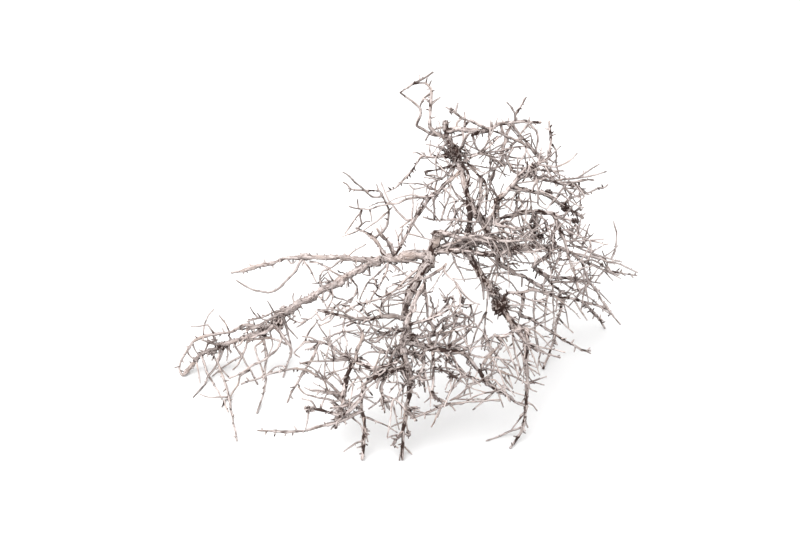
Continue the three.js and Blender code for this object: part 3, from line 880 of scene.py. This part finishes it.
BUMP_STRENGTH = 0.6
BUMP_DEPTH = 0.6 * MM
WOOD_ROUGHNESS = 0.88
WOOD_SPECULAR = 0.25

# Sockets of a colour mix
MIX_FACTOR, MIX_FIRST, MIX_SECOND, MIX_RESULT = 0, 6, 7, 2

# Floor and light, in metres and watts
FLOOR_SIDE = 14.0
FLOOR_WHITE = 0.95
FLOOR_ROUGHNESS = 0.9
SKY_STRENGTH = 1.05
KEY_PLACE = (-1.3, -0.7, 2.6)
KEY_SIDE = 3.2
KEY_POWER = 76


class Draw:
    """Repeatable draws, the same as those of the solid for the same seed."""

    MULTIPLIER = 1664525
    INCREMENT = 1013904223
    RANGE = 2 ** 32

    def __init__(self, seed):
        self.state = seed

    def __call__(self):
        self.state = (self.state * self.MULTIPLIER + self.INCREMENT) % self.RANGE
        return self.state / self.RANGE

    def between(self, low, high):
        return low + (high - low) * self()


draw = Draw(SEED)
fine_draw = Draw(SEED + 1)
noise.seed_set(SEED)


# Layout along sight lines

def place(point, resting_height):
    """The place in space of a picture point, kept from sinking below its resting height."""
    x, y, near = point
    across = (x - PICTURE_MIDDLE[0]) * PIXEL / EYE_DISTANCE
    rise = (PICTURE_MIDDLE[1] - y) * PIXEL / EYE_DISTANCE
    line = FORWARD + RIGHT * across + UP * rise
    floor_reach = (resting_height - EYE[2]) / line[2]
    return EYE + line * min(EYE_DISTANCE - near * PIXEL, floor_reach)


def to_picture(spot):
    """The picture point, in pixels, at which a place in space is seen."""
    offset = spot - EYE
    scale = EYE_DISTANCE / PIXEL / np.dot(offset, FORWARD)
    return PICTURE_MIDDLE[0] + np.dot(offset, RIGHT) * scale, PICTURE_MIDDLE[1] - np.dot(offset, UP) * scale


def read_rows(text):
    """The rows of a block of text, without the headings among them."""
    return [row for row in text.split("\n") if row and not row.startswith("#")]


def read_branch(row):
    """Thickness, lean and route of a branch."""
    diameter, lean, route = row.split(" ", 2)
    return float(diameter), float(lean), route


def read_points(text):
    """Groups of numbers, such as picture points, from a text."""
    return [tuple(float(number) for number in word.split(",")) for word in text.split()]


def running_length(route):
    steps = [math.dist(a[:2], b[:2]) for a, b in zip(route, route[1:])]
    return np.concatenate(([0.0], np.cumsum(steps)))


def stand_off(point, start, end):
    """How far a point stands off the straight line between two others, in pixels."""
    point, start, end = (np.array(spot) for spot in (point, start, end))
    run = end - start
    share = min(max(np.dot(point - start, run) / np.dot(run, run), 0), 1)
    return np.linalg.norm(point - start - run * share)


def straighten(route):
    """Leaves out the points that hardly bend the route."""
    kept = [route[0]]
    for point, following in zip(route[1:-1], route[2:]):
        if stand_off(point, kept[-1], following) > LEAST_BEND:
            kept.append(point)
    return kept + [route[-1]]


# The wood laid so far, as routes in the picture and as lines in space
centrelines = []
laid_lines = []


def nearest_on_wood(x, y):
    """The nearest centreline point in the picture among the wood laid so far."""
    best, foot = math.inf, None
    for route in centrelines:
        for a, b in zip(route, route[1:]):
            run = (b[0] - a[0], b[1] - a[1])
            along = ((x - a[0]) * run[0] + (y - a[1]) * run[1]) / (run[0] ** 2 + run[1] ** 2)
            share = min(max(along, 0), 1)
            spot = (a[0] + run[0] * share, a[1] + run[1] * share)
            distance = math.dist((x, y), spot)
            if distance < best:
                best = distance
                foot = (*spot, a[2] + (b[2] - a[2]) * share)
    return foot


def seat_on_wood(spot):
    """The nearest spot in space on the wood laid so far."""
    every = np.vstack(laid_lines)
    return every[np.argmin(np.linalg.norm(every - spot, axis=1))]


def grow(route, lean):
    """Gives a route the depth of the wood it grows from, leaning evenly from there."""
    lengths = running_length(route)
    root = nearest_on_wood(*route[0])
    spots = [root[:2]] + route[1:]
    return [(*spot, root[2] + lean * length / lengths[-1]) for spot, length in zip(spots, lengths)]


# Sticks of wood

def unit(rows):
    return rows / np.linalg.norm(rows, axis=-1, keepdims=True)


def headings(line):
    return unit(np.gradient(line, axis=0))


def line_lengths(line):
    return np.concatenate(([0.0], np.cumsum(np.linalg.norm(np.diff(line, axis=0), axis=1))))


def smooth_line(points, values, step):
    """A smooth line through the points at about even steps, with the values carried along."""
    points = np.array(points)
    values = np.array(values)
    before = np.vstack((2 * points[0] - points[1], points[:-1]))
    after = np.vstack((points[1:], 2 * points[-1] - points[-2]))
    slopes = (after - before) / 2 * ROUNDNESS
    line, carried = [], []
    for i in range(len(points) - 1):
        count = max(STEPS_LEAST, math.ceil(np.linalg.norm(points[i + 1] - points[i]) / step))
        for t in np.arange(count) / count:
            line.append(
                (2 * t ** 3 - 3 * t ** 2 + 1) * points[i]
                + (t ** 3 - 2 * t ** 2 + t) * slopes[i]
                + (3 * t ** 2 - 2 * t ** 3) * points[i + 1]
                + (t ** 3 - t ** 2) * slopes[i + 1]
            )
            carried.append(values[i] + (values[i + 1] - values[i]) * t)
    return np.array(line + [points[-1]]), np.array(carried + [values[-1]])


def ring_frames(line):
    """Two directions across the line at each point, turned as little as possible from ring to ring."""
    along = headings(line)
    side = np.array((0.0, 0, 1)) if abs(along[0][2]) < STEEP else np.array((1.0, 0, 0))
    sides = []
    for direction in along:
        side = side - direction * np.dot(side, direction)
        side = side / np.linalg.norm(side)
        sides.append(side)
    sides = np.array(sides)
    return sides, np.cross(along, sides)


def furrows(lengths, angles, radii, depth, seed):
    """Swelling of each corner of each ring, as a factor of the radius there."""
    swell = np.ones((len(lengths), len(angles)))
    if depth == 0:
        return swell
    for i, (length, radius) in enumerate(zip(lengths, radii)):
        for j, angle in enumerate(angles):
            spot = Vector((
                math.cos(angle) * radius * FURROW_ACROSS,
                math.sin(angle) * radius * FURROW_ACROSS,
                length * FURROW_ALONG + seed * FURROW_STICK_SHIFT,
            ))
            ridge = 1 - 2 * abs(noise.noise(spot))
            swell[i, j] = 1 + depth * (ridge - FURROW_MIDDLE + noise.noise(spot * SWELLING_SCALE))
    return swell


class Wood:
    """Gathers sticks and lumps into one mesh, with what its material reads at each corner."""

    def __init__(self):
        self.corners, self.faces, self.grain, self.tone, self.bark = [], [], [], [], []
        self.count = 0

    def add(self, corners, faces, grain, tone, bark):
        corners = np.array(corners)
        corners[:, 2] = np.maximum(corners[:, 2], FLOOR_CLEARANCE)
        self.corners.append(corners)
        self.faces.extend(tuple(corner + self.count for corner in face) for face in faces)
        self.grain.append(np.array(grain))
        self.tone.append(np.broadcast_to(tone, len(corners)))
        self.bark.append(np.broadcast_to(bark, len(corners)))
        self.count += len(corners)

    def stick(self, line, radii, sides, tone, bark, furrow, seed):
        """A round stick along a line, with furrowed sides and closed, rounded ends."""
        side, cross = ring_frames(line)
        lengths = line_lengths(line)
        angles = np.arange(sides) * 2 * math.pi / sides
        swell = furrows(lengths, angles, radii, furrow, seed)
        cosines, sines = np.cos(angles), np.sin(angles)
        spokes = side[:, None] * cosines[None, :, None] + cross[:, None] * sines[None, :, None]
        rings = line[:, None] + spokes * (radii[:, None] * swell)[..., None]
        tip = line[-1] + unit(line[-1] - line[-2]) * radii[-1] * TIP_ROUND
        corners = np.vstack((rings.reshape(-1, 3), line[:1], tip[None]))
        grain_ring = np.stack((cosines, sines), axis=1)
        grain = np.concatenate((
            np.broadcast_to(grain_ring, (len(line), sides, 2)) * radii[:, None, None],
            np.broadcast_to(lengths[:, None, None], (len(line), sides, 1)) + seed,
        ), axis=2).reshape(-1, 3)
        ends = np.array(((0, 0, seed), (0, 0, lengths[-1] + seed)))
        # Bark of the stick, with painted shade added round its root
        ring_bark_and_shade = bark + ROOT_SHADE * np.exp(-lengths / ROOT_SHADE_REACH)
        corner_bark_and_shade = np.concatenate((np.repeat(ring_bark_and_shade, sides), ring_bark_and_shade[[0, -1]]))
        root, top = len(line) * sides, len(line) * sides + 1
        last = (len(line) - 1) * sides
        faces = []
        for j in range(sides):
            k = (j + 1) % sides
            faces.extend((i + j, i + k, i + sides + k, i + sides + j) for i in range(0, last, sides))
            faces.append((root, k, j))
            faces.append((top, last + j, last + k))
        self.add(corners, faces, np.vstack((grain, ends)), tone, corner_bark_and_shade)

    def build(self, name, material):
        mesh = bpy.data.meshes.new(name)
        mesh.from_pydata(np.vstack(self.corners).tolist(), [], self.faces)
        for label, kind, field, values in (
            ("grain", "FLOAT_VECTOR", "vector", np.vstack(self.grain)),
            ("tone", "FLOAT", "value", np.concatenate(self.tone)),
            ("bark", "FLOAT", "value", np.concatenate(self.bark)),
        ):
            layer = mesh.attributes.new(label, kind, "POINT")
            layer.data.foreach_set(field, values.astype(np.float32).ravel())
        mesh.shade_smooth()
        mesh.materials.append(material)
        piece = bpy.data.objects.new(name, mesh)
        bpy.context.scene.collection.objects.link(piece)
        return piece


# Growth

def wander(line, radii, look, seed):
    """Bends a line to and fro as grown wood does, more where it is thick, not at all at its root."""
    lengths = line_lengths(line)
    moved = line.copy()
    for i, length in enumerate(lengths):
        spot = Vector((seed, length * CROOK_PER_METRE, CROOK_LAYER))
        ease = min(1, length / CROOK_EASE)
        moved[i] += np.array(noise.noise_vector(spot)) * radii[i] * 2 * look.crook * ease
    joints = np.maximum(0, np.cos(lengths / JOINT_SPACING * 2 * math.pi + seed)) ** JOINT_SHARPNESS
    lumps = [noise.noise(Vector((length * LUMPS_PER_METRE, seed, 0))) for length in lengths]
    return moved, radii * (1 + look.lump * np.array(lumps) + JOINT_SWELL * joints)


def wood_along(wood, route, root, tip, look, tone):
    """Lays wood along a route of picture points, tapering from root to tip diameter."""
    centrelines.append(straighten(route))
    lengths = running_length(route)
    radii = (root + (tip - root) * lengths / lengths[-1]) / 2
    points = [place(point, radius) for point, radius in zip(route, radii)]
    if laid_lines:
        points[0] = seat_on_wood(points[0])
    line, carried = smooth_line(points, radii, look.step)
    seed = fine_draw.between(*STICK_SEED)
    line, carried = wander(line, carried, look, seed)
    bark = fine_draw.between(*look.bark)
    wood.stick(line, carried, look.sides, tone, bark, look.furrow, seed)
    laid_lines.append(line)
    return line, carried


def grow_limb(wood, name, root, tip, text):
    route = read_points(text)
    if centrelines:
        route[0] = nearest_on_wood(*route[0][:2])
    look, tone = (PALE_LOOK, PALE_TONE) if name in PALE_LIMBS else (LIMB_LOOK, fine_draw())
    return wood_along(wood, route, root * MM + LIMB_BARK, tip * MM + TIP_BARK, look, tone)


def grow_branch(wood, look, row):
    diameter, lean, text = read_branch(row)
    root = diameter * MM + BRANCH_BARK
    route = grow(read_points(text), lean)
    if look is BRANCH_LOOK and route[0][0] < BARE_SIDE:
        look = BARE_LOOK
    return wood_along(wood, route, root, max(root * TIP_SHARE, TIP_LEAST), look, fine_draw())


def grow_twig(wood, lean_share, text):
    route = read_points(text)
    total = running_length(route)[-1]
    lean = (2 * draw() - 1) * lean_share * total
    root = min(TWIG_ROOT_LEAST + total * TWIG_SWELL_PER_PIXEL, TWIG_ROOT_MOST)
    fullness = CROWN_FULLNESS if route[0][1] < CROWN_LINE else TWIG_FULLNESS
    root *= fullness
    tip = max(root * TIP_SHARE, TIP_LEAST * fullness)
    return wood_along(wood, grow(route, lean), root, tip, TWIG_LOOK, fine_draw())


def grow_stub(wood, root, tip, diameters, bark_range):
    """A short broken stub, thick at its root."""
    if tip[2] > diameters[1] * MM:
        line = np.linspace(root, tip, STUB_RINGS)
        radii = np.linspace(*diameters, STUB_RINGS) * MM / 2
        tone = fine_draw()
        bark = fine_draw.between(*bark_range)
        wood.stick(line, radii, STUB_SIDES, tone, bark, 0.0, fine_draw.between(*STICK_SEED))


def grow_spurs(wood, line, radii, step, length_range, diameters, source):
    """Stubs stand out of the wood, each turned its own way round it, at even steps for the solid's draws."""
    lengths = line_lengths(line)
    along = headings(line)
    distance = step * MM
    while distance < lengths[-1] - step * MM / 2:
        i = int(np.searchsorted(lengths, distance))
        turn = source() * 2 * math.pi
        stretch = source.between(*length_range) * MM
        side = unit(np.cross((0, 0, 1), along[i]))
        out = side * math.cos(turn) + np.cross(along[i], side) * math.sin(turn)
        tip = line[i] + out * (radii[i] + stretch) + along[i] * stretch * SPUR_RISE
        grow_stub(wood, line[i], tip, diameters, STUB_BARK)
        distance += step * MM if source is draw else step * MM * source.between(*STUB_SPREAD)


def any_way():
    """A drawn direction, of no set length."""
    return np.array([fine_draw.between(-1, 1) for _ in range(3)])


def grow_knot(wood, lines, x, y, radius, pitting):
    """A matted, pitted gall of bark round the wood, with painted shade in its pits and the stubs of twigs in
    it.
    """
    radius *= MM
    middle = seat_on_wood(place(nearest_on_wood(x, y), radius))
    every = np.vstack([line for line, _ in lines])
    along = np.vstack([headings(line) for line, _ in lines])
    nearest_heading = Vector(along[np.argmin(np.linalg.norm(every - middle, axis=1))])
    turn = nearest_heading.to_track_quat("Z", "Y").to_matrix()
    stretch = Vector((1, 1, KNOT_STRETCH))
    build = bmesh.new()
    bmesh.ops.create_icosphere(build, subdivisions=KNOT_LEVELS, radius=1)
    spots = [corner.co.copy() for corner in build.verts]
    faces = [tuple(corner.index for corner in face.verts) for face in build.faces]
    build.free()
    corners, pit_shade_and_bark = [], []
    for spot in spots:
        noise_spot = spot + Vector((x, y, 0))
        nearest, second = noise.voronoi(noise_spot * KNOT_PITS_ACROSS)[0][:2]
        wall = max(0, 1 - (second - nearest) * pitting / KNOT_WALL)
        lump = KNOT_LUMP * noise.noise(noise_spot * KNOT_LUMPS_ACROSS)
        reach = KNOT_BODY + KNOT_PIT * (wall - KNOT_PIT_MIDDLE) + lump
        corners.append(middle + np.array(turn @ (spot * stretch)) * radius * reach)
        # Painted shade in the pits, bark on the walls
        pit_shade_and_bark.append(KNOT_PIT_SHADE * (1 - wall) + KNOT_WALL_BARK * pitting ** 2 * wall)
    wood.add(corners, faces, [tuple(spot * radius) for spot in spots], fine_draw(), np.array(pit_shade_and_bark))
    for _ in range(KNOT_STUBS):
        out = Vector(any_way()).normalized()
        reach = fine_draw.between(*KNOT_STUB_LENGTH)
        tip = middle + np.array(turn @ (out * stretch)) * radius * reach
        grow_stub(wood, middle, tip, KNOT_STUB_DIAMETER, KNOT_STUB_BARK * pitting)


# Fine twigs

outline = read_points(OUTLINE)


def in_outline(x, y):
    inside = False
    for (ax, ay), (bx, by) in zip(outline, outline[1:] + outline[:1]):
        if (ay > y) != (by > y) and x < ax + (y - ay) * (bx - ax) / (by - ay):
            inside = not inside
    return inside


def has_room(spot):
    low, high = np.array(cad_box[0]) - BOX_ROOM, np.array(cad_box[1]) + BOX_ROOM
    return spot[2] > FINE_DIAMETER[0] * MM and np.all(spot > low) and np.all(spot < high)


def spacing_at(spot):
    """Spacing of fine twigs in the densest thicket round a spot, or none outside the thickets."""
    x, y = to_picture(spot)
    inside = [
        spacing
        for middle_x, middle_y, half_x, half_y, spacing in THICKETS.values()
        if ((x - middle_x) / half_x) ** 2 + ((y - middle_y) / half_y) ** 2 < 1
    ]
    return min(inside) * MM if inside else None


def fine_twig(wood, root, heading, length, fullness, bark, kink, forks):
    """A fine twig with a kink at each joint, which may fork once."""
    joints = max(FINE_JOINTS_LEAST, round(length / FINE_JOINT))
    points = [root]
    for _ in range(joints):
        heading = unit(heading + any_way() * kink)
        points.append(points[-1] + heading * length / joints)
    if not in_outline(*to_picture(points[-1])) or not all(has_room(point) for point in points):
        return
    radii = np.linspace(*FINE_DIAMETER, joints + 1) * MM / 2 * fullness
    line, carried = smooth_line(points, radii, FINE_STEP)
    tone = fine_draw()
    wood.stick(line, carried, FINE_SIDES, tone, bark, 0.0, fine_draw.between(*STICK_SEED))
    grow_spurs(wood, line, carried, BUD_STEP, BUD_LENGTH, BUD_DIAMETER, fine_draw)
    if forks and fine_draw() < FORK_CHANCE:
        fork = points[len(points) // 2]
        way = unit(heading + any_way())
        fine_twig(wood, fork, way, length * FORK_LENGTH, fullness * FORK_FULLNESS, bark, kink, False)


def grow_thicket(wood, line):
    """Fine twigs along a line of wood, each turned its own way round it."""
    lengths = line_lengths(line)
    side, cross = ring_frames(line)
    along = headings(line)
    distance = THICKET_SPAN[0] * lengths[-1]
    while distance < lengths[-1] * THICKET_SPAN[1]:
        i = int(np.searchsorted(lengths, distance))
        spacing = spacing_at(line[i])
        if spacing is None:
            distance += THICKET_PACE
            continue
        turn = fine_draw() * 2 * math.pi
        slant = fine_draw.between(*FINE_ANGLE)
        out = side[i] * math.cos(turn) + cross[i] * math.sin(turn)
        heading = along[i] * math.cos(slant) + out * math.sin(slant)
        length = (FINE_LENGTH[0] + (FINE_LENGTH[1] - FINE_LENGTH[0]) * fine_draw() ** FINE_SHORTNESS) * MM
        fullness = fine_draw.between(*FINE_FULLNESS)
        bark = fine_draw.between(*FINE_BARK)
        fine_twig(wood, line[i], heading, length, fullness, bark, FINE_KINK, True)
        distance += spacing * fine_draw.between(*THICKET_SPREAD)


def grow_broom(wood, x, y, half, count):
    """A bunch of short crooked twigs on the wood round a picture point."""
    for _ in range(int(count)):
        spot = nearest_on_wood(x + fine_draw.between(-half, half), y + fine_draw.between(-half, half))
        length = fine_draw.between(*BROOM_LENGTH) * MM
        root = seat_on_wood(place(spot, NUB_DIAMETER[0] * MM))
        fullness = fine_draw.between(*BROOM_FULLNESS)
        bark = fine_draw.between(*BROOM_BARK) * (BARE_SHARE if x < BARE_SIDE else 1)
        fine_twig(wood, root, unit(any_way()), length, fullness, bark, BROOM_KINK, True)


limb_wood = Wood()
twig_wood = Wood()
fine_wood = Wood()
spur_wood = Wood()

limb_lines = [grow_limb(limb_wood, name, *limb) for name, limb in LIMBS.items()]
branch_lines = [grow_branch(limb_wood, BRANCH_LOOK, row) for row in read_rows(BRANCHES)]
twig_lines = [grow_twig(twig_wood, LEAN_SHARE, row) for row in read_rows(TWIGS)]
for limb_line in limb_lines:
    grow_spurs(spur_wood, *limb_line, SPUR_STEP, SPUR_LENGTH, SPUR_DIAMETER, draw)
for knot in read_points(KNOTS):
    grow_knot(spur_wood, limb_lines + branch_lines + twig_lines, *knot)
inner_branch_lines = [grow_branch(limb_wood, BRANCH_LOOK, row) for row in read_rows(INNER_BRANCHES)]
inner_branch_lines += [grow_branch(limb_wood, DARK_BARK_AND_SHADE_LOOK, row) for row in read_rows(DARK_BARK_AND_SHADE_BRANCHES)]
inner_lines = [grow_twig(twig_wood, INNER_LEAN_SHARE, row) for row in read_rows(INNER_TWIGS)]
thick_lines = limb_lines + branch_lines + inner_branch_lines
thin_lines = twig_lines + inner_lines
for knot in read_points(SMALL_KNOTS):
    grow_knot(spur_wood, thick_lines, *knot)
for wood_line in thick_lines:
    grow_spurs(spur_wood, *wood_line, NUB_STEP, NUB_LENGTH, NUB_DIAMETER, fine_draw)
for wood_line in thin_lines:
    grow_spurs(spur_wood, *wood_line, BUD_STEP, BUD_LENGTH, BUD_DIAMETER, fine_draw)
for broom in read_points(BROOMS):
    grow_broom(fine_wood, *broom)
for line, _ in thick_lines + thin_lines:
    grow_thicket(fine_wood, line)


# Material

def feed(tree, socket, value):
    """Links a socket to another, or sets it to a value."""
    if isinstance(value, bpy.types.NodeSocket):
        tree.links.new(value, socket)
    else:
        socket.default_value = value


def attribute(tree, name):
    made = tree.nodes.new("ShaderNodeAttribute")
    made.attribute_name = name
    return made


def streaked_noise(tree, vector, scale, detail):
    """Noise over a stretched space, as a value between 0 and 1."""
    stretched = tree.nodes.new("ShaderNodeMapping")
    feed(tree, stretched.inputs["Vector"], vector)
    stretched.inputs["Scale"].default_value = scale
    made = tree.nodes.new("ShaderNodeTexNoise")
    feed(tree, made.inputs["Vector"], stretched.outputs["Vector"])
    made.inputs["Scale"].default_value = 1.0
    made.inputs["Detail"].default_value = detail
    return made.outputs["Fac"]


def ranged(tree, value, limits):
    """A value taken from one range to another."""
    made = tree.nodes.new("ShaderNodeMapRange")
    feed(tree, made.inputs["Value"], value)
    for name, limit in zip(("From Min", "From Max", "To Min", "To Max"), limits):
        made.inputs[name].default_value = limit
    return made.outputs["Result"]


def math_of(tree, operation, first, second):
    made = tree.nodes.new("ShaderNodeMath")
    made.operation = operation
    feed(tree, made.inputs[0], first)
    feed(tree, made.inputs[1], second)
    return made.outputs["Value"]


def mixed(tree, blend, factor, first, second):
    """Two colours mixed."""
    made = tree.nodes.new("ShaderNodeMix")
    made.data_type = "RGBA"
    made.blend_type = blend
    feed(tree, made.inputs[MIX_FACTOR], factor)
    feed(tree, made.inputs[MIX_FIRST], first)
    feed(tree, made.inputs[MIX_SECOND], second)
    return made.outputs[MIX_RESULT]


def ramp(tree, value, stops):
    """A value turned into colours. The first two stops are the outermost ones."""
    made = tree.nodes.new("ShaderNodeValToRGB")
    feed(tree, made.inputs["Fac"], value)
    elements = made.color_ramp.elements
    for i, (position, colour) in enumerate(stops):
        element = elements[i] if i < len(elements) else elements.new(position)
        element.position = position
        element.color = (*colour, 1)
    return made.outputs["Color"]


def weathered_wood():
    """Pale grey-brown wood, streaked along the grain, with painted light on its upper faces and painted
    shade on its undersides, and dark where bark is left or where shade is painted in knot pits and round the
    roots of sticks.
    """
    material = bpy.data.materials.new("weathered_wood")
    material.use_nodes = True
    tree = material.node_tree
    shader = tree.nodes["Principled BSDF"]
    grain = attribute(tree, "grain").outputs["Vector"]
    tone = attribute(tree, "tone").outputs["Fac"]
    bark = attribute(tree, "bark").outputs["Fac"]
    streaks = streaked_noise(tree, grain, *STREAKS)
    flakes = streaked_noise(tree, grain, *FLAKES)
    spots = streaked_noise(tree, grain, *SPOTS)
    colour = ramp(tree, streaks, STREAK_COLOURS)
    colour = mixed(tree, "MIX", ranged(tree, spots, TAN_SPOTS), colour, (*TAN, 1))
    colour = mixed(tree, "MULTIPLY", 1.0, colour, ranged(tree, tone, STICK_TONES))
    # Painted shade on faces that look down and painted light on faces that look up, from the height of the
    # surface normal
    normal = tree.nodes.new("ShaderNodeNewGeometry").outputs["Normal"]
    light_facing = tree.nodes.new("ShaderNodeSeparateXYZ")
    feed(tree, light_facing.inputs["Vector"], normal)
    colour = mixed(tree, "MULTIPLY", 1.0, colour, ranged(tree, light_facing.outputs["Z"], TOP_LIGHT_AND_UNDER_SHADE_TONES))
    flaked = ranged(tree, flakes, FLAKE_EDGES)
    # The bark colour covers flaked and whole bark, and also the painted shade carried in the bark value
    matted = math_of(tree, "MULTIPLY", flaked, ranged(tree, bark, FLAKED_BARK))
    matted = math_of(tree, "MAXIMUM", matted, ranged(tree, bark, FULL_BARK_AND_SHADE))
    colour = mixed(tree, "MIX", matted, colour, (*BARK_AND_SHADE_COLOUR, 1))
    feed(tree, shader.inputs["Base Color"], colour)
    bump = tree.nodes.new("ShaderNodeBump")
    feed(tree, bump.inputs["Height"], streaks)
    bump.inputs["Strength"].default_value = BUMP_STRENGTH
    bump.inputs["Distance"].default_value = BUMP_DEPTH
    feed(tree, shader.inputs["Normal"], bump.outputs["Normal"])
    shader.inputs["Roughness"].default_value = WOOD_ROUGHNESS
    shader.inputs["Specular IOR Level"].default_value = WOOD_SPECULAR
    return material


wood_material = weathered_wood()
for name, gathered in (
    ("branch_limbs", limb_wood),
    ("branch_twigs", twig_wood),
    ("branch_fine_twigs", fine_wood),
    ("branch_spurs", spur_wood),
):
    piece = gathered.build(name, wood_material)
    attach(piece, "root")
    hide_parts("branch")


# Floor, light and camera

def lay_floor():
    half = FLOOR_SIDE / 2
    corners = [(-half, -half, 0), (half, -half, 0), (half, half, 0), (-half, half, 0)]
    mesh = bpy.data.meshes.new("floor")
    mesh.from_pydata(corners, [], [(0, 1, 2, 3)])
    material = bpy.data.materials.new("floor")
    material.use_nodes = True
    shader = material.node_tree.nodes["Principled BSDF"]
    shader.inputs["Base Color"].default_value = (FLOOR_WHITE, FLOOR_WHITE, FLOOR_WHITE, 1)
    shader.inputs["Roughness"].default_value = FLOOR_ROUGHNESS
    shader.inputs["Specular IOR Level"].default_value = 0.0
    mesh.materials.append(material)
    floor = bpy.data.objects.new("floor", mesh)
    bpy.context.scene.collection.objects.link(floor)


def hang_key_light():
    """A broad soft light above and to the left, turned to the branch."""
    data = bpy.data.lights.new("key", "AREA")
    data.size = KEY_SIDE
    data.energy = KEY_POWER
    lamp = bpy.data.objects.new("key", data)
    lamp.location = KEY_PLACE
    sight = Vector(LOOK_AT.tolist()) - Vector(KEY_PLACE)
    lamp.rotation_euler = sight.to_track_quat("-Z", "Y").to_euler()
    bpy.context.scene.collection.objects.link(lamp)


def set_sky():
    world = bpy.data.worlds.new("studio")
    world.use_nodes = True
    background = world.node_tree.nodes["Background"]
    background.inputs["Color"].default_value = (1, 1, 1, 1)
    background.inputs["Strength"].default_value = SKY_STRENGTH
    bpy.context.scene.world = world


def set_camera():
    data = bpy.data.cameras.new("camera")
    data.sensor_width = SENSOR_WIDTH
    data.lens = SENSOR_WIDTH * EYE_DISTANCE / PIXEL / PICTURE_WIDTH
    camera = bpy.data.objects.new("camera", data)
    camera.location = EYE.tolist()
    camera.rotation_euler = Vector(FORWARD.tolist()).to_track_quat("-Z", "Y").to_euler()
    bpy.context.scene.collection.objects.link(camera)
    bpy.context.scene.camera = camera


lay_floor()
set_sky()
hang_key_light()
set_camera()
bpy.context.scene.view_settings.view_transform = "Standard"
